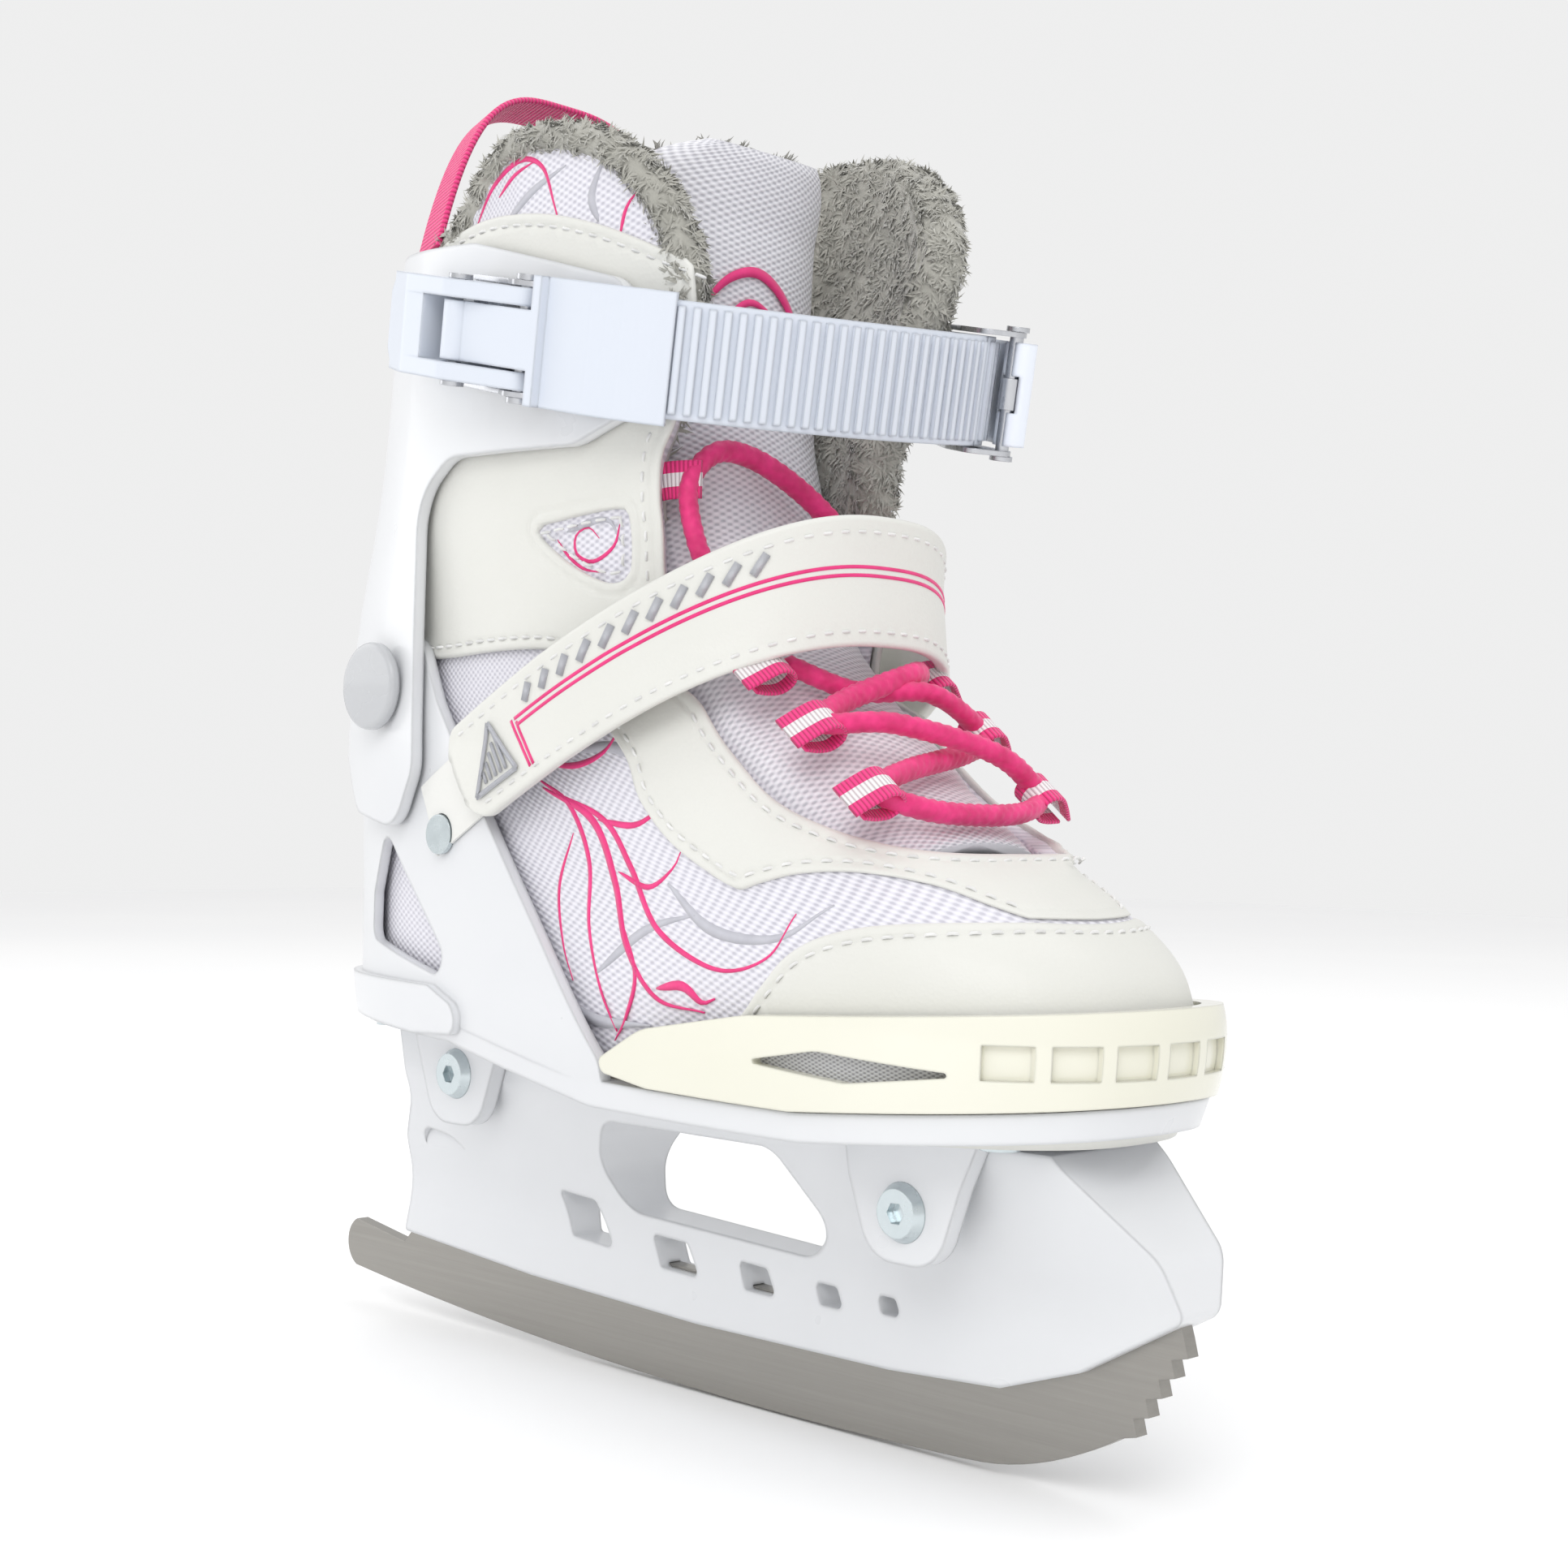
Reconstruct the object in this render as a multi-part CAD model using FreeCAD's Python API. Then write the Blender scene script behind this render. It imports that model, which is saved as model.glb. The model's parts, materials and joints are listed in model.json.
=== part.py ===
"""Recreational soft-boot ice skate, right foot.

Frame: +X toe, +Y medial (inner) side, +Z up.  Millimetres.
The blade lies in the plane y = 0 and its lowest point is at z = 0.
"""
import FreeCAD, Part
import math
import os

V = FreeCAD.Vector
os.makedirs("parts", exist_ok=True)

# ---------------------------------------------------------------- blade
BLADE_THICKNESS = 3.5
BLADE_TAIL_X = -143.0
BLADE_FRONT_X = 131.0
PICK_START_X = 118.0
PICK_END = (132.5, 34.5)         # top of the last pick: x, z
ROCKER_RADIUS = 1500.0          # long glide curve, lowest at x = ROCKER_X
ROCKER_X = 22.0
TOE_CURVE_RADIUS = 72.0         # upturn ahead of the glide curve
TOE_CURVE_X = 80.0
PICK_COUNT = 5
PICK_DEPTH = 2.6
STEEL_SHOWING = 15.8            # steel below the holder
STEEL_EMBEDDED = 9.0            # steel held inside the holder

# --------------------------------------------------------------- holder
HOLDER_REAR_X = -113.0
HOLDER_BOTTOM_HALF = 4.6        # half width where the steel comes out
HOLDER_TOP_HALF = 17.0          # half width between the ears
HOLDER_FLARE_Z = 36.0           # the sides flare above this level
BRIDGE_Z = 61.0                 # top of the large window
SLOT_CLEAR = 0.05               # steel in its slot, each side
BLADE_PIN_R = 2.5
BLADE_PIN_X = (-88.0, 98.0)

# ------------------------------------------------------- sole plate, shell
PLATE_THICKNESS = 6.0
SHELL_GAP = 0.4                 # boot surface to inside of the shell
SHELL_WALL = 2.8
BUMPER_WALL = 4.2
BUMPER_POCKETS = 7              # shallow windows between the ribs at the toe
BUMPER_POCKET_DEPTH = 1.6
BUMPER_POCKET_LEVELS = (83.8, 90.4)
BUMPER_POCKET_HUB_X = 42.0      # the ribs point at this place of the middle plane
BUMPER_POCKET_SPAN = 29.0       # degrees to each side
BUMPER_RIB_ANGLE = 2.0          # degrees taken by a rib
EAR_THICKNESS = 4.2
EAR_CLEAR = 0.1                 # ear to holder side
REAR_BOLT = (-70.0, 68.0)       # x, z of the cross bolts
FRONT_BOLT = (78.0, 53.5)
BOLT_R = 3.0
BOLT_HEAD_R = 6.2
BOLT_HEAD_H = 2.2
BOLT_FIT = 0.08                 # radial clearance in the bolt holes
SOLE_SCREW_R = 2.0
SOLE_SCREW_XS = (-95.0, -32.0, 15.0, 62.0, 104.0)
SOLE_SCREW_Y = 13.0

# ------------------------------------------------------------ ankle pivot
PIVOT = (-72.0, 162.0)          # x, z of the cuff's hinge axis
PIVOT_R = 4.0
PIVOT_FIT = 0.06
CAP_R = 10.5
CAP_H = 2.2
FLEX_FORWARD = 8.0              # degrees
FLEX_BACK = 3.0
FLEX_SPARE = 1.2                # degrees of wedge left at the end of the flex
FLEX_LINE_REACH = 200.0         # length over which the flex line's slope is taken
CUFF_GAP = 1.2                  # shell outside to cuff inside at the pivot
CUFF_WALL = 3.0
SHELL_RIVET = (-46.0, 127.0)
SHELL_RIVET_R = 2.0
RIVET_HEAD_R = 4.6

# --------------------------------------------------------------- soft boot
BOOT_WALL = 6.0
LINING_WALL = 6.0
THROAT_HALF = 28.0              # half width of the tongue opening
TONGUE_HALF = 25.0
TONGUE_THICKNESS = 7.0
FLAP_FRONT_X = 25.0             # front edge of the shaft's two flaps
SOFT_GAP = 0.5
INSOLE_THICKNESS = 3.0
BOARD_THICKNESS = 2.0

# Boot surface: level, heel x, toe x, lateral and medial half widths, x of the widest place
BOOT_LEVELS = (
    (60, -110, 118, 40.0, 38.0, 45),
    (75, -113, 123, 43.0, 41.0, 45),
    (90, -115, 126, 45.0, 43.0, 42),
    (104, -115, 121, 44.5, 42.5, 36),
    (114, -114.5, 109, 44.0, 42.0, 26),
    (124, -114, 90, 43.3, 41.5, 12),
    (136, -113, 71, 42.3, 40.5, -2),
    (150, -112, 54, 41.0, 39.5, -16),
    (165, -110.5, 44, 39.5, 38.5, -25),
    (185, -107.5, 42, 39.5, 39.0, -30),
    (210, -102, 45, 41.0, 41.0, -30),
    (240, -95, 49, 42.5, 43.0, -28),
    (270, -89, 50, 43.5, 45.0, -25),
    (300, -85, 50, 44.0, 46.0, -24),
)
RING_POWER = 2.5                # how square the plan outline is
RING_POINTS = 20

# Top of the sole plate, heel to toe: x, z
PLATE_LINE = ((-130, 87), (-45, 85), (8, 75.5), (70, 74.5), (135, 79))

# ------------------------------------------------------------ laces, loops
LACE_R = 2.4
LACE_ORIGIN = V(77, 0, 130)     # foot of the lacing, on the tongue
LACE_SLOPE = 39.8               # degrees, rise of the lacing line towards the heel
LACE_ROWS = (6.0, 27.5, 46.5)   # loop rows along the lacing line
LOOP_Y = 25.5
LOOP_WIDTH = 9.0
LOOP_THICKNESS = 1.2

# --------------------------------------------------------------- ankle strap
STRAP_TILT = (-0.2354, 0.0863)  # slopes of the strap plane along x and y
STRAP_Z = 238.1                 # height of the strap plane on the blade's axis
STRAP_HALF = 12.5               # ladder strap, half width
STRAP_THICKNESS = 3.0
TOOTH_PITCH = 3.2
TOOTH_HEIGHT = 1.1
SLEEVE_HALF = STRAP_HALF + 1.5
SLEEVE_WALL = 1.8
TONGUE_PLATE_HALF = 6.5         # carrier tongue between the lever's arms
TONGUE_PLATE_IN = 3.4           # its two faces, outside the ladder's middle
TONGUE_PLATE_OUT = 5.6
KNUCKLE_R = 3.2
LEVER_PIN = (-9.0, -52.2)       # lever hinge, strap frame
CARRIER_PIN = (-27.0, -57.3)    # carrier hinge on the lever, strap frame
SLEEVE_START = (-2.0, -50.2)
SLEEVE_HEADING = 6.0            # degrees
LADDER_RUNS = ((10.0,), (30.0, 44.0), (83.0, 56.0))
TAIL_RUNS = ((17.5, 72.0), (20.0,))
PIN_R = 1.6
PIN_FIT = 0.06
EAR_PLATE = 1.2                 # sheet steel of both buckles
LEVER_ARM = 4.0
LEVER_INSIDE_Y = -50.2
CATCH_PIN = (47.5, 46.0)
LATERAL_SEAT_Y = -47.6          # cuff side of the buckle base, strap frame
MEDIAL_SEAT_Y = 47.2            # cuff side of the ratchet frame, strap frame
LATERAL_RIVET_XS = (-28.0, -17.0)
MEDIAL_RIVET_XS = (2.5, 10.5)

# --------------------------------------------------------------- instep strap
INSTEP_CENTRE = (-36.0, 138.0)  # x, z of the strap's middle at the tab
INSTEP_SLOPE = 27.5             # degrees
INSTEP_HALF = 12.5
INSTEP_THICKNESS = 3.0
INSTEP_GAP = 4.8                # boot surface to the strap at the sides
INSTEP_GAP_FRONT = 7.0          # and where it bridges the lacing
INSTEP_HINGE_X = 20.0           # where the strap leaves the boot when it is peeled
FLAP_CLEAR = 0.6

PULL_LOOP_FEET = ((-62, -39.9), (-62, 41.4))  # x, y on the two sides of the collar
PULL_LOOP_FOOT_Z = 266.9
PULL_LOOP_RISE = 42.0
PULL_LOOP_CORNERS = 3.2         # power of the arch: higher is squarer
PULL_LOOP_STEPS = 18
PULL_LOOP_WIDTH = 12.0
PULL_LOOP_THICKNESS = 1.6


# ------------------------------------------------------------------ helpers
def save(shape, node):
    """Write one node; every node holds only closed solids."""
    solids = shape.Solids
    result = solids[0] if len(solids) == 1 else Part.makeCompound(solids)
    volume = sum(solid.Volume for solid in solids)
    if not solids or volume <= 0 or not result.isValid():
        raise RuntimeError("bad shape in " + node)
    result.exportStep("parts/" + node + ".step")
    print(node, len(solids), round(volume))


def ramp(table, at):
    """Row of a table at a level, straight between its rows."""
    if at <= table[0][0]:
        return table[0][1:]
    for low, high in zip(table, table[1:]):
        if at <= high[0]:
            share = (at - low[0]) / float(high[0] - low[0])
            return tuple(a + (b - a) * share for a, b in zip(low[1:], high[1:]))
    return table[-1][1:]


def ring(level, grow):
    """Closed plan outline of the boot at a level, grown outwards by grow."""
    heel, toe, lateral, medial, widest = ramp(BOOT_LEVELS, level)
    points = []
    for step in range(RING_POINTS):
        angle = 2 * math.pi * (step + 0.5) / RING_POINTS
        along = math.copysign(abs(math.cos(angle)) ** (2 / RING_POWER), math.cos(angle))
        across = math.copysign(abs(math.sin(angle)) ** (2 / RING_POWER), math.sin(angle))
        reach = toe - widest if along > 0 else widest - heel
        side = medial if across > 0 else lateral
        points.append(V(widest + (reach + grow) * along, (side + grow) * across, level))
    curve = Part.BSplineCurve()
    curve.interpolate(Points=points, PeriodicFlag=True)
    return Part.Wire([curve.toShape()])


def boot_form(low, high, grow):
    """Solid bounded by the boot surface grown by grow (a number or a function of the level)."""
    inner = [row[0] for row in BOOT_LEVELS if low + 3 < row[0] < high - 3]
    levels = [low] + inner + [high]
    grown = grow if callable(grow) else (lambda level: grow)
    return Part.makeLoft([ring(level, grown(level)) for level in levels], True, False)


def skin(low, high, inside, outside):
    """Wall between two grown boot surfaces."""
    inner_low, inner_high = low - 1.0, high + 1.0
    outer = boot_form(low, high, outside)
    return outer.cut(boot_form(inner_low, inner_high, inside))


def place(plane, u, v, offset):
    if plane == "XZ":
        return V(u, offset, v)
    if plane == "YZ":
        return V(offset, u, v)
    return V(u, v, offset)


def outline(points, plane, offset, radius=0.0):
    """Closed wire through corner points, each corner rounded by radius or its own third value."""
    count = len(points)
    corners = []
    for index, point in enumerate(points):
        size = point[2] if len(point) > 2 else radius
        here = V(point[0], point[1], 0)
        back = V(points[index - 1][0], points[index - 1][1], 0) - here
        ahead = V(points[(index + 1) % count][0], points[(index + 1) % count][1], 0) - here
        half = back.getAngle(ahead) / 2
        if size <= 0 or math.tan(half) > 50:
            corners.append((here, None, here))
            continue
        cut = size / math.tan(half)
        first = here + back.normalize() * cut
        last = here + ahead.normalize() * cut
        middle_way = (back + ahead).normalize()
        middle = here + middle_way * (size / math.sin(half) - size)
        corners.append((first, middle, last))
    edges = []
    for index in range(count):
        first, middle, last = corners[index]
        following = corners[(index + 1) % count][0]
        if middle is not None:
            edges.append(Part.Arc(*[place(plane, p.x, p.y, offset) for p in (first, middle, last)]).toShape())
        if (following - last).Length > 1e-6:
            start, stop = (place(plane, p.x, p.y, offset) for p in (last, following))
            edges.append(Part.LineSegment(start, stop).toShape())
    return Part.Wire(edges)


def prism(points, plane, low, high, radius=0.0):
    """Outline swept straight from low to high along the plane's normal."""
    face = Part.Face(outline(points, plane, low, radius))
    return face.extrude(place(plane, 0, 0, high - low))


def rod(x, z, y_low, y_high, radius):
    """Round bar along Y."""
    return Part.makeCylinder(radius, y_high - y_low, V(x, y_low, z), V(0, 1, 0))


def post(x, y, z_low, z_high, radius):
    """Round bar along Z."""
    return Part.makeCylinder(radius, z_high - z_low, V(x, y, z_low), V(0, 0, 1))


def box(low, high):
    size = [b - a for a, b in zip(low, high)]
    return Part.makeBox(size[0], size[1], size[2], V(*low))


def mirror_y(shape):
    return shape.mirror(V(0, 0, 0), V(0, 1, 0))


def fuse(shapes):
    result = shapes[0]
    for shape in shapes[1:]:
        result = result.fuse(shape)
    return result.removeSplitter()


def boot_side(x, level, side, grow):
    """y of the boot surface, grown, at a place along the foot; side is -1 lateral, +1 medial."""
    heel, toe, lateral, medial, widest = ramp(BOOT_LEVELS, level)
    reach = (toe - widest if x > widest else widest - heel) + grow
    width = (medial if side > 0 else lateral) + grow
    share = min(abs(x - widest) / reach, 0.999)
    return side * width * (1 - share ** RING_POWER) ** (1 / RING_POWER)


# -------------------------------------------------------------------- blade
def glide_z(x):
    """Underside of the blade."""
    z = (x - ROCKER_X) ** 2 / (2 * ROCKER_RADIUS)
    if x > TOE_CURVE_X:
        z += (x - TOE_CURVE_X) ** 2 / (2 * TOE_CURVE_RADIUS)
    return z


def steel_line(x):
    """Where the steel comes out of the holder."""
    return glide_z(x) + STEEL_SHOWING


def make_blade():
    spans = 24
    length = PICK_START_X - BLADE_TAIL_X - 4
    under = []
    for step in range(spans + 1):
        x = BLADE_TAIL_X + 4 + length * step / spans
        under.append(V(x, 0, glide_z(x)))
    curve = Part.BSplineCurve()
    curve.interpolate(Points=under)
    edges = [curve.toShape()]
    tip = V(PICK_END[0], 0, PICK_END[1])
    start = under[-1]
    run = (tip - start) * (1.0 / PICK_COUNT)
    outward = V(run.z, 0, -run.x).normalize()
    last = start
    for tooth in range(PICK_COUNT):
        base = start + run * (tooth + 1)
        crest = start + run * (tooth + 0.55) + outward * PICK_DEPTH
        edges.append(Part.LineSegment(last, crest).toShape())
        edges.append(Part.LineSegment(crest, base).toShape())
        last = base
    top_front = steel_line(BLADE_FRONT_X) + STEEL_EMBEDDED
    top = [
        V(BLADE_FRONT_X + 0.5, 0, steel_line(BLADE_FRONT_X)),
        V(BLADE_FRONT_X - 3, 0, top_front),
        V(100, 0, steel_line(100) + STEEL_EMBEDDED),
        V(60, 0, steel_line(60) + STEEL_EMBEDDED),
        V(HOLDER_REAR_X + 3, 0, steel_line(HOLDER_REAR_X) + STEEL_EMBEDDED),
        V(HOLDER_REAR_X + 1, 0, steel_line(HOLDER_REAR_X) + 1),
        V(HOLDER_REAR_X - 4, 0, steel_line(HOLDER_REAR_X) - 4),
        V(BLADE_TAIL_X + 4, 0, glide_z(BLADE_TAIL_X) + 12),
    ]
    for corner in top:
        edges.append(Part.LineSegment(last, corner).toShape())
        last = corner
    tail_mid = V(BLADE_TAIL_X, 0, glide_z(BLADE_TAIL_X) + 5.5)
    edges.append(Part.Arc(last, tail_mid, under[0]).toShape())
    face = Part.Face(Part.Wire(edges))
    blade = face.extrude(V(0, BLADE_THICKNESS, 0))
    blade.translate(V(0, -BLADE_THICKNESS / 2, 0))
    for x in BLADE_PIN_X:
        blade = blade.cut(rod(x, steel_line(x) + 4.5, -10, 10, BLADE_PIN_R))
    return blade


# ------------------------------------------------------------------- holder
def make_holder():
    base = steel_line
    side = [
        (HOLDER_REAR_X, base(HOLDER_REAR_X), 1.0),
        (-60, base(-60), 0),
        (0, base(0), 0),
        (60, base(60), 0),
        (90, base(90), 0),
        (110, base(110), 0),
        (BLADE_FRONT_X + 4.5, base(BLADE_FRONT_X) + 1, 3),
        (BLADE_FRONT_X + 2, 50, 8),
        (118, 63, 10),
        (112, 68.2, 0),
        (8, 68.2, 8),
        (-44, 78.2, 8),
        (-100, 79.0, 0),
        (-96, 62, 14),
        (-106, 48, 12),
    ]
    body = prism(side, "XZ", -HOLDER_TOP_HALF, HOLDER_TOP_HALF)
    low, high = HOLDER_BOTTOM_HALF, HOLDER_TOP_HALF
    funnel = [(-low, 0), (low, 0), (low, HOLDER_FLARE_Z, 30), (high, 66, 8), (high, 90), (-high, 90),
              (-high, 66, 8), (-low, HOLDER_FLARE_Z, 30)]
    body = body.common(prism(funnel, "YZ", -150, 150))
    window = [(-22, 39, 9), (38, 36.5, 9), (46, 44, 6), (34, BRIDGE_Z, 7), (-22, BRIDGE_Z, 7), (-28, 50, 8)]
    body = body.cut(prism(window, "XZ", -40, 40))
    small = (
        ((-47, 41), (-34, 40), (-29, 29), (-44, 30)),
        ((-15, 34.5), (-3, 34), (1, 26.5), (-12, 27)),
        ((14, 32.5), (23, 32), (26, 26), (16, 26.2)),
        ((38, 31.5), (44.5, 31.2), (46.5, 26.6), (39.5, 26.6)),
        ((56.5, 31.6), (61.5, 31.4), (63, 27.6), (57.5, 27.6)),
    )
    for corners in small:
        body = body.cut(prism(corners, "XZ", -40, 40, 1.2))
    slot = make_slot()
    body = body.cut(slot)
    for x, z in (REAR_BOLT, FRONT_BOLT):
        body = body.cut(rod(x, z, -30, 30, BOLT_R + BOLT_FIT))
    for x in BLADE_PIN_X:
        body = body.cut(rod(x, steel_line(x) + 4.5, -HOLDER_BOTTOM_HALF + 1, HOLDER_BOTTOM_HALF - 1, BLADE_PIN_R))
    recess = [(-98, 52, 4), (-86, 50, 4), (-72, 40, 5), (-80, 33, 3), (-98, 36, 4)]
    for side_sign in (-1, 1):
        wall = 9.0 * side_sign
        cut = prism(recess, "XZ", min(wall, 30 * side_sign), max(wall, 30 * side_sign))
        body = body.cut(cut)
    return body


def make_slot():
    """Space for the steel inside the holder."""
    half = BLADE_THICKNESS / 2 + SLOT_CLEAR
    top = STEEL_EMBEDDED + 0.2
    corners = [
        (HOLDER_REAR_X - 2, 0),
        (HOLDER_REAR_X - 2, steel_line(HOLDER_REAR_X) + top),
        (60, steel_line(60) + top),
        (100, steel_line(100) + top),
        (BLADE_FRONT_X - 2.8, steel_line(BLADE_FRONT_X) + top),
        (BLADE_FRONT_X + 0.8, steel_line(BLADE_FRONT_X)),
        (BLADE_FRONT_X + 0.8, 0),
    ]
    return prism(corners, "XZ", -half, half)


def make_blade_pins():
    pins = []
    reach = HOLDER_BOTTOM_HALF - 1
    for x in BLADE_PIN_X:
        pins.append(rod(x, steel_line(x) + 4.5, -reach, reach, BLADE_PIN_R - 0.03))
    return Part.makeCompound(pins)


# -------------------------------------------------------------- shell, plate
def band(lift_low, lift_high):
    """Side outline between two lines that run parallel to the top of the sole plate."""
    low = [(x, z + lift_low, 20) for x, z in PLATE_LINE]
    high = [(x, z + lift_high, 20) for x, z in reversed(PLATE_LINE)]
    for line in (low, high):
        line[0] = line[0][:2]
        line[-1] = line[-1][:2]
    return low + high


def above_plate(lift, top):
    """Region above the sole plate."""
    low = [(x, z + lift, 20) for x, z in PLATE_LINE]
    low[0] = low[0][:2]
    low[-1] = low[-1][:2]
    return prism(low + [(160, PLATE_LINE[-1][1] + lift), (160, top), (-160, top),
                        (-160, PLATE_LINE[0][1] + lift)], "XZ", -80, 80)


def ear(bolt, width, drop, side):
    """Ear that grips the holder and takes a cross bolt."""
    x, z = bolt
    top = 72 if x > 0 else 82
    points = [(x - width, top), (x - width + 2, z + 6, 8), (x - 9, z - drop, 9), (x + 9, z - drop, 9),
              (x + width - 2, z + 6, 8), (x + width + 4, top)]
    inside = HOLDER_TOP_HALF + EAR_CLEAR
    low, high = sorted((side * inside, side * (inside + EAR_THICKNESS)))
    return prism(points, "XZ", low, high)


def make_shell():
    outer = SHELL_GAP + SHELL_WALL
    plate = boot_form(60, 100, outer).common(prism(band(-PLATE_THICKNESS, 0), "XZ", -80, 80))
    arm_x, arm_z = PIVOT
    side = [(-135, 84), (-135, 138, 6), (-104, 141, 10), (arm_x - 16, arm_z - 4, 8), (arm_x - 9, arm_z + 13, 9),
            (arm_x + 10, arm_z + 12, 10), (-52, 158, 8), (14, 80, 4), (14, 70), (-40, 78)]
    wall = skin(62, 182, SHELL_GAP, outer)
    wall = wall.common(prism(side, "XZ", -80, 80)).common(above_plate(-1.0, 200))
    window = [(-77, 128, 4), (-87, 112, 4), (-88, 101, 4), (-38, 92, 4)]
    wall = wall.cut(prism(window, "XZ", -80, 80))
    ledge = boot_form(60, 100, outer + 2.2)
    ledge = ledge.cut(boot_form(59, 101, SHELL_GAP))
    ledge = ledge.common(prism([(-135, 83), (-135, 92, 2), (-50, 92, 4), (-22, 82, 4), (-60, 80, 4)], "XZ", -80, 80))
    parts = [plate, wall, ledge]
    for bolt, width, drop in ((REAR_BOLT, 18, 12.5), (FRONT_BOLT, 17, 10.5)):
        for sign in (-1, 1):
            parts.append(ear(bolt, width, drop, sign))
    shell = fuse(parts)
    for x, z in (REAR_BOLT, FRONT_BOLT):
        shell = shell.cut(rod(x, z, -40, 40, BOLT_R + BOLT_FIT))
    shell = shell.cut(rod(PIVOT[0], PIVOT[1], -80, 80, PIVOT_R))
    shell = shell.cut(rod(SHELL_RIVET[0], SHELL_RIVET[1], -80, 80, SHELL_RIVET_R))
    shell = shell.cut(sole_screw_shape(SOLE_SCREW_R, 0.0))
    return shell


def plate_top(x):
    """Height of the top of the sole plate."""
    return ramp(PLATE_LINE, x)[0]


def sole_screw_shape(radius, head):
    """Shanks of the screws that hold the lasting board to the plate, with heads below it if asked."""
    shapes = []
    for x in SOLE_SCREW_XS:
        for side in (-1, 1):
            top = plate_top(x)
            y = side * (SOLE_SCREW_Y + 9.5)
            shank = post(x, y, top - PLATE_THICKNESS - 1.2, top + BOARD_THICKNESS - 0.2, radius)
            if head:
                cap = post(x, y, top - PLATE_THICKNESS - 1.8, top - PLATE_THICKNESS - 0.3, head)
                shank = shank.fuse(cap).removeSplitter()
            shapes.append(shank)
    return Part.makeCompound(shapes)


def make_bolts():
    shapes = []
    inside = HOLDER_TOP_HALF + EAR_CLEAR + EAR_THICKNESS
    for x, z in (REAR_BOLT, FRONT_BOLT):
        shank = rod(x, z, -inside - 0.2, inside - 0.6, BOLT_R)
        flange = Part.makeCone(BOLT_HEAD_R, BOLT_HEAD_R * 0.8, BOLT_HEAD_H, V(x, -inside - 0.02, z), V(0, -1, 0))
        socket = hexagon(x, z, 2.0)
        bolt = shank.fuse(flange).removeSplitter()
        tool = socket.extrude(V(0, -5, 0))
        tool.translate(V(0, -inside - 0.4, 0))
        shapes.append(bolt.cut(tool))
    return Part.makeCompound(shapes)


def hexagon(x, z, half_width):
    reach = half_width / math.cos(math.pi / 6)
    corners = []
    for index in range(6):
        angle = math.pi / 3 * index
        corners.append((x + reach * math.cos(angle), z + reach * math.sin(angle)))
    return Part.Face(outline(corners, "XZ", 0))


def make_bolt_nuts():
    shapes = []
    inside = HOLDER_TOP_HALF + EAR_CLEAR + EAR_THICKNESS
    for x, z in (REAR_BOLT, FRONT_BOLT):
        head = Part.makeCone(BOLT_HEAD_R, BOLT_HEAD_R * 0.8, BOLT_HEAD_H, V(x, inside + 0.02, z), V(0, 1, 0))
        shapes.append(head)
    return Part.makeCompound(shapes)


def make_bumper():
    wall = skin(66, 104, SHELL_GAP, BUMPER_WALL + SHELL_GAP)
    side = [(11, 78.5, 2), (30, 75.6, 3), (70, 74.8, 20), (150, 80), (150, 98), (60, 93, 40), (30, 88, 20)]
    wall = wall.common(prism(side, "XZ", -80, 80)).common(above_plate(0.3, 120))
    slot = [(59, 84, 0.5), (78, 87.3, 12), (109, 84.5, 0.5), (84, 81.5, 12)]
    wall = wall.cut(prism(slot, "XZ", -80, 80))
    floor = SHELL_GAP + BUMPER_WALL - BUMPER_POCKET_DEPTH
    recess = skin(80, 98, floor, floor + 10)
    pitch = 2 * BUMPER_POCKET_SPAN / BUMPER_POCKETS
    for index in range(BUMPER_POCKETS):
        first = -BUMPER_POCKET_SPAN + index * pitch + BUMPER_RIB_ANGLE / 2
        wall = wall.cut(recess.common(toe_sector(first, first + pitch - BUMPER_RIB_ANGLE)))
    return wall


def toe_sector(first, last):
    """Wedge that opens towards the toe between two angles, over the levels of the bumper's windows."""
    corners = [(BUMPER_POCKET_HUB_X, 0)]
    for degrees in (first, last):
        turn = math.radians(degrees)
        corners.append((BUMPER_POCKET_HUB_X + 110 * math.cos(turn), 110 * math.sin(turn)))
    low, high = BUMPER_POCKET_LEVELS
    return prism(corners, "XY", low, high)


# ----------------------------------------------------------------- soft boot
def flex_line_point(degrees):
    """Point ahead of the ankle pivot on the line that rises at this angle: x, z."""
    x, z = PIVOT
    turn = math.radians(degrees)
    return x + FLEX_LINE_REACH * math.cos(turn), z + FLEX_LINE_REACH * math.sin(turn)


def throat_box(low, high, half, depth):
    """Box in the lacing frame: along the lacing from low to high, half wide, depth below it."""
    shape = Part.makeBox(high - low, 2 * half, depth + 60, V(low, -half, -depth))
    return to_lacing(shape)


def to_lacing(shape):
    """From the lacing frame (along, across, above) to the skate."""
    slope = math.radians(LACE_SLOPE)
    along = V(-math.cos(slope), 0, math.sin(slope))
    above = V(math.sin(slope), 0, math.cos(slope))
    across = above.cross(along)
    matrix = FreeCAD.Matrix(along.x, across.x, above.x, LACE_ORIGIN.x,
                            along.y, across.y, above.y, LACE_ORIGIN.y,
                            along.z, across.z, above.z, LACE_ORIGIN.z, 0, 0, 0, 1)
    copy = shape.copy()
    copy.Placement = FreeCAD.Placement(matrix)
    return copy


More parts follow.
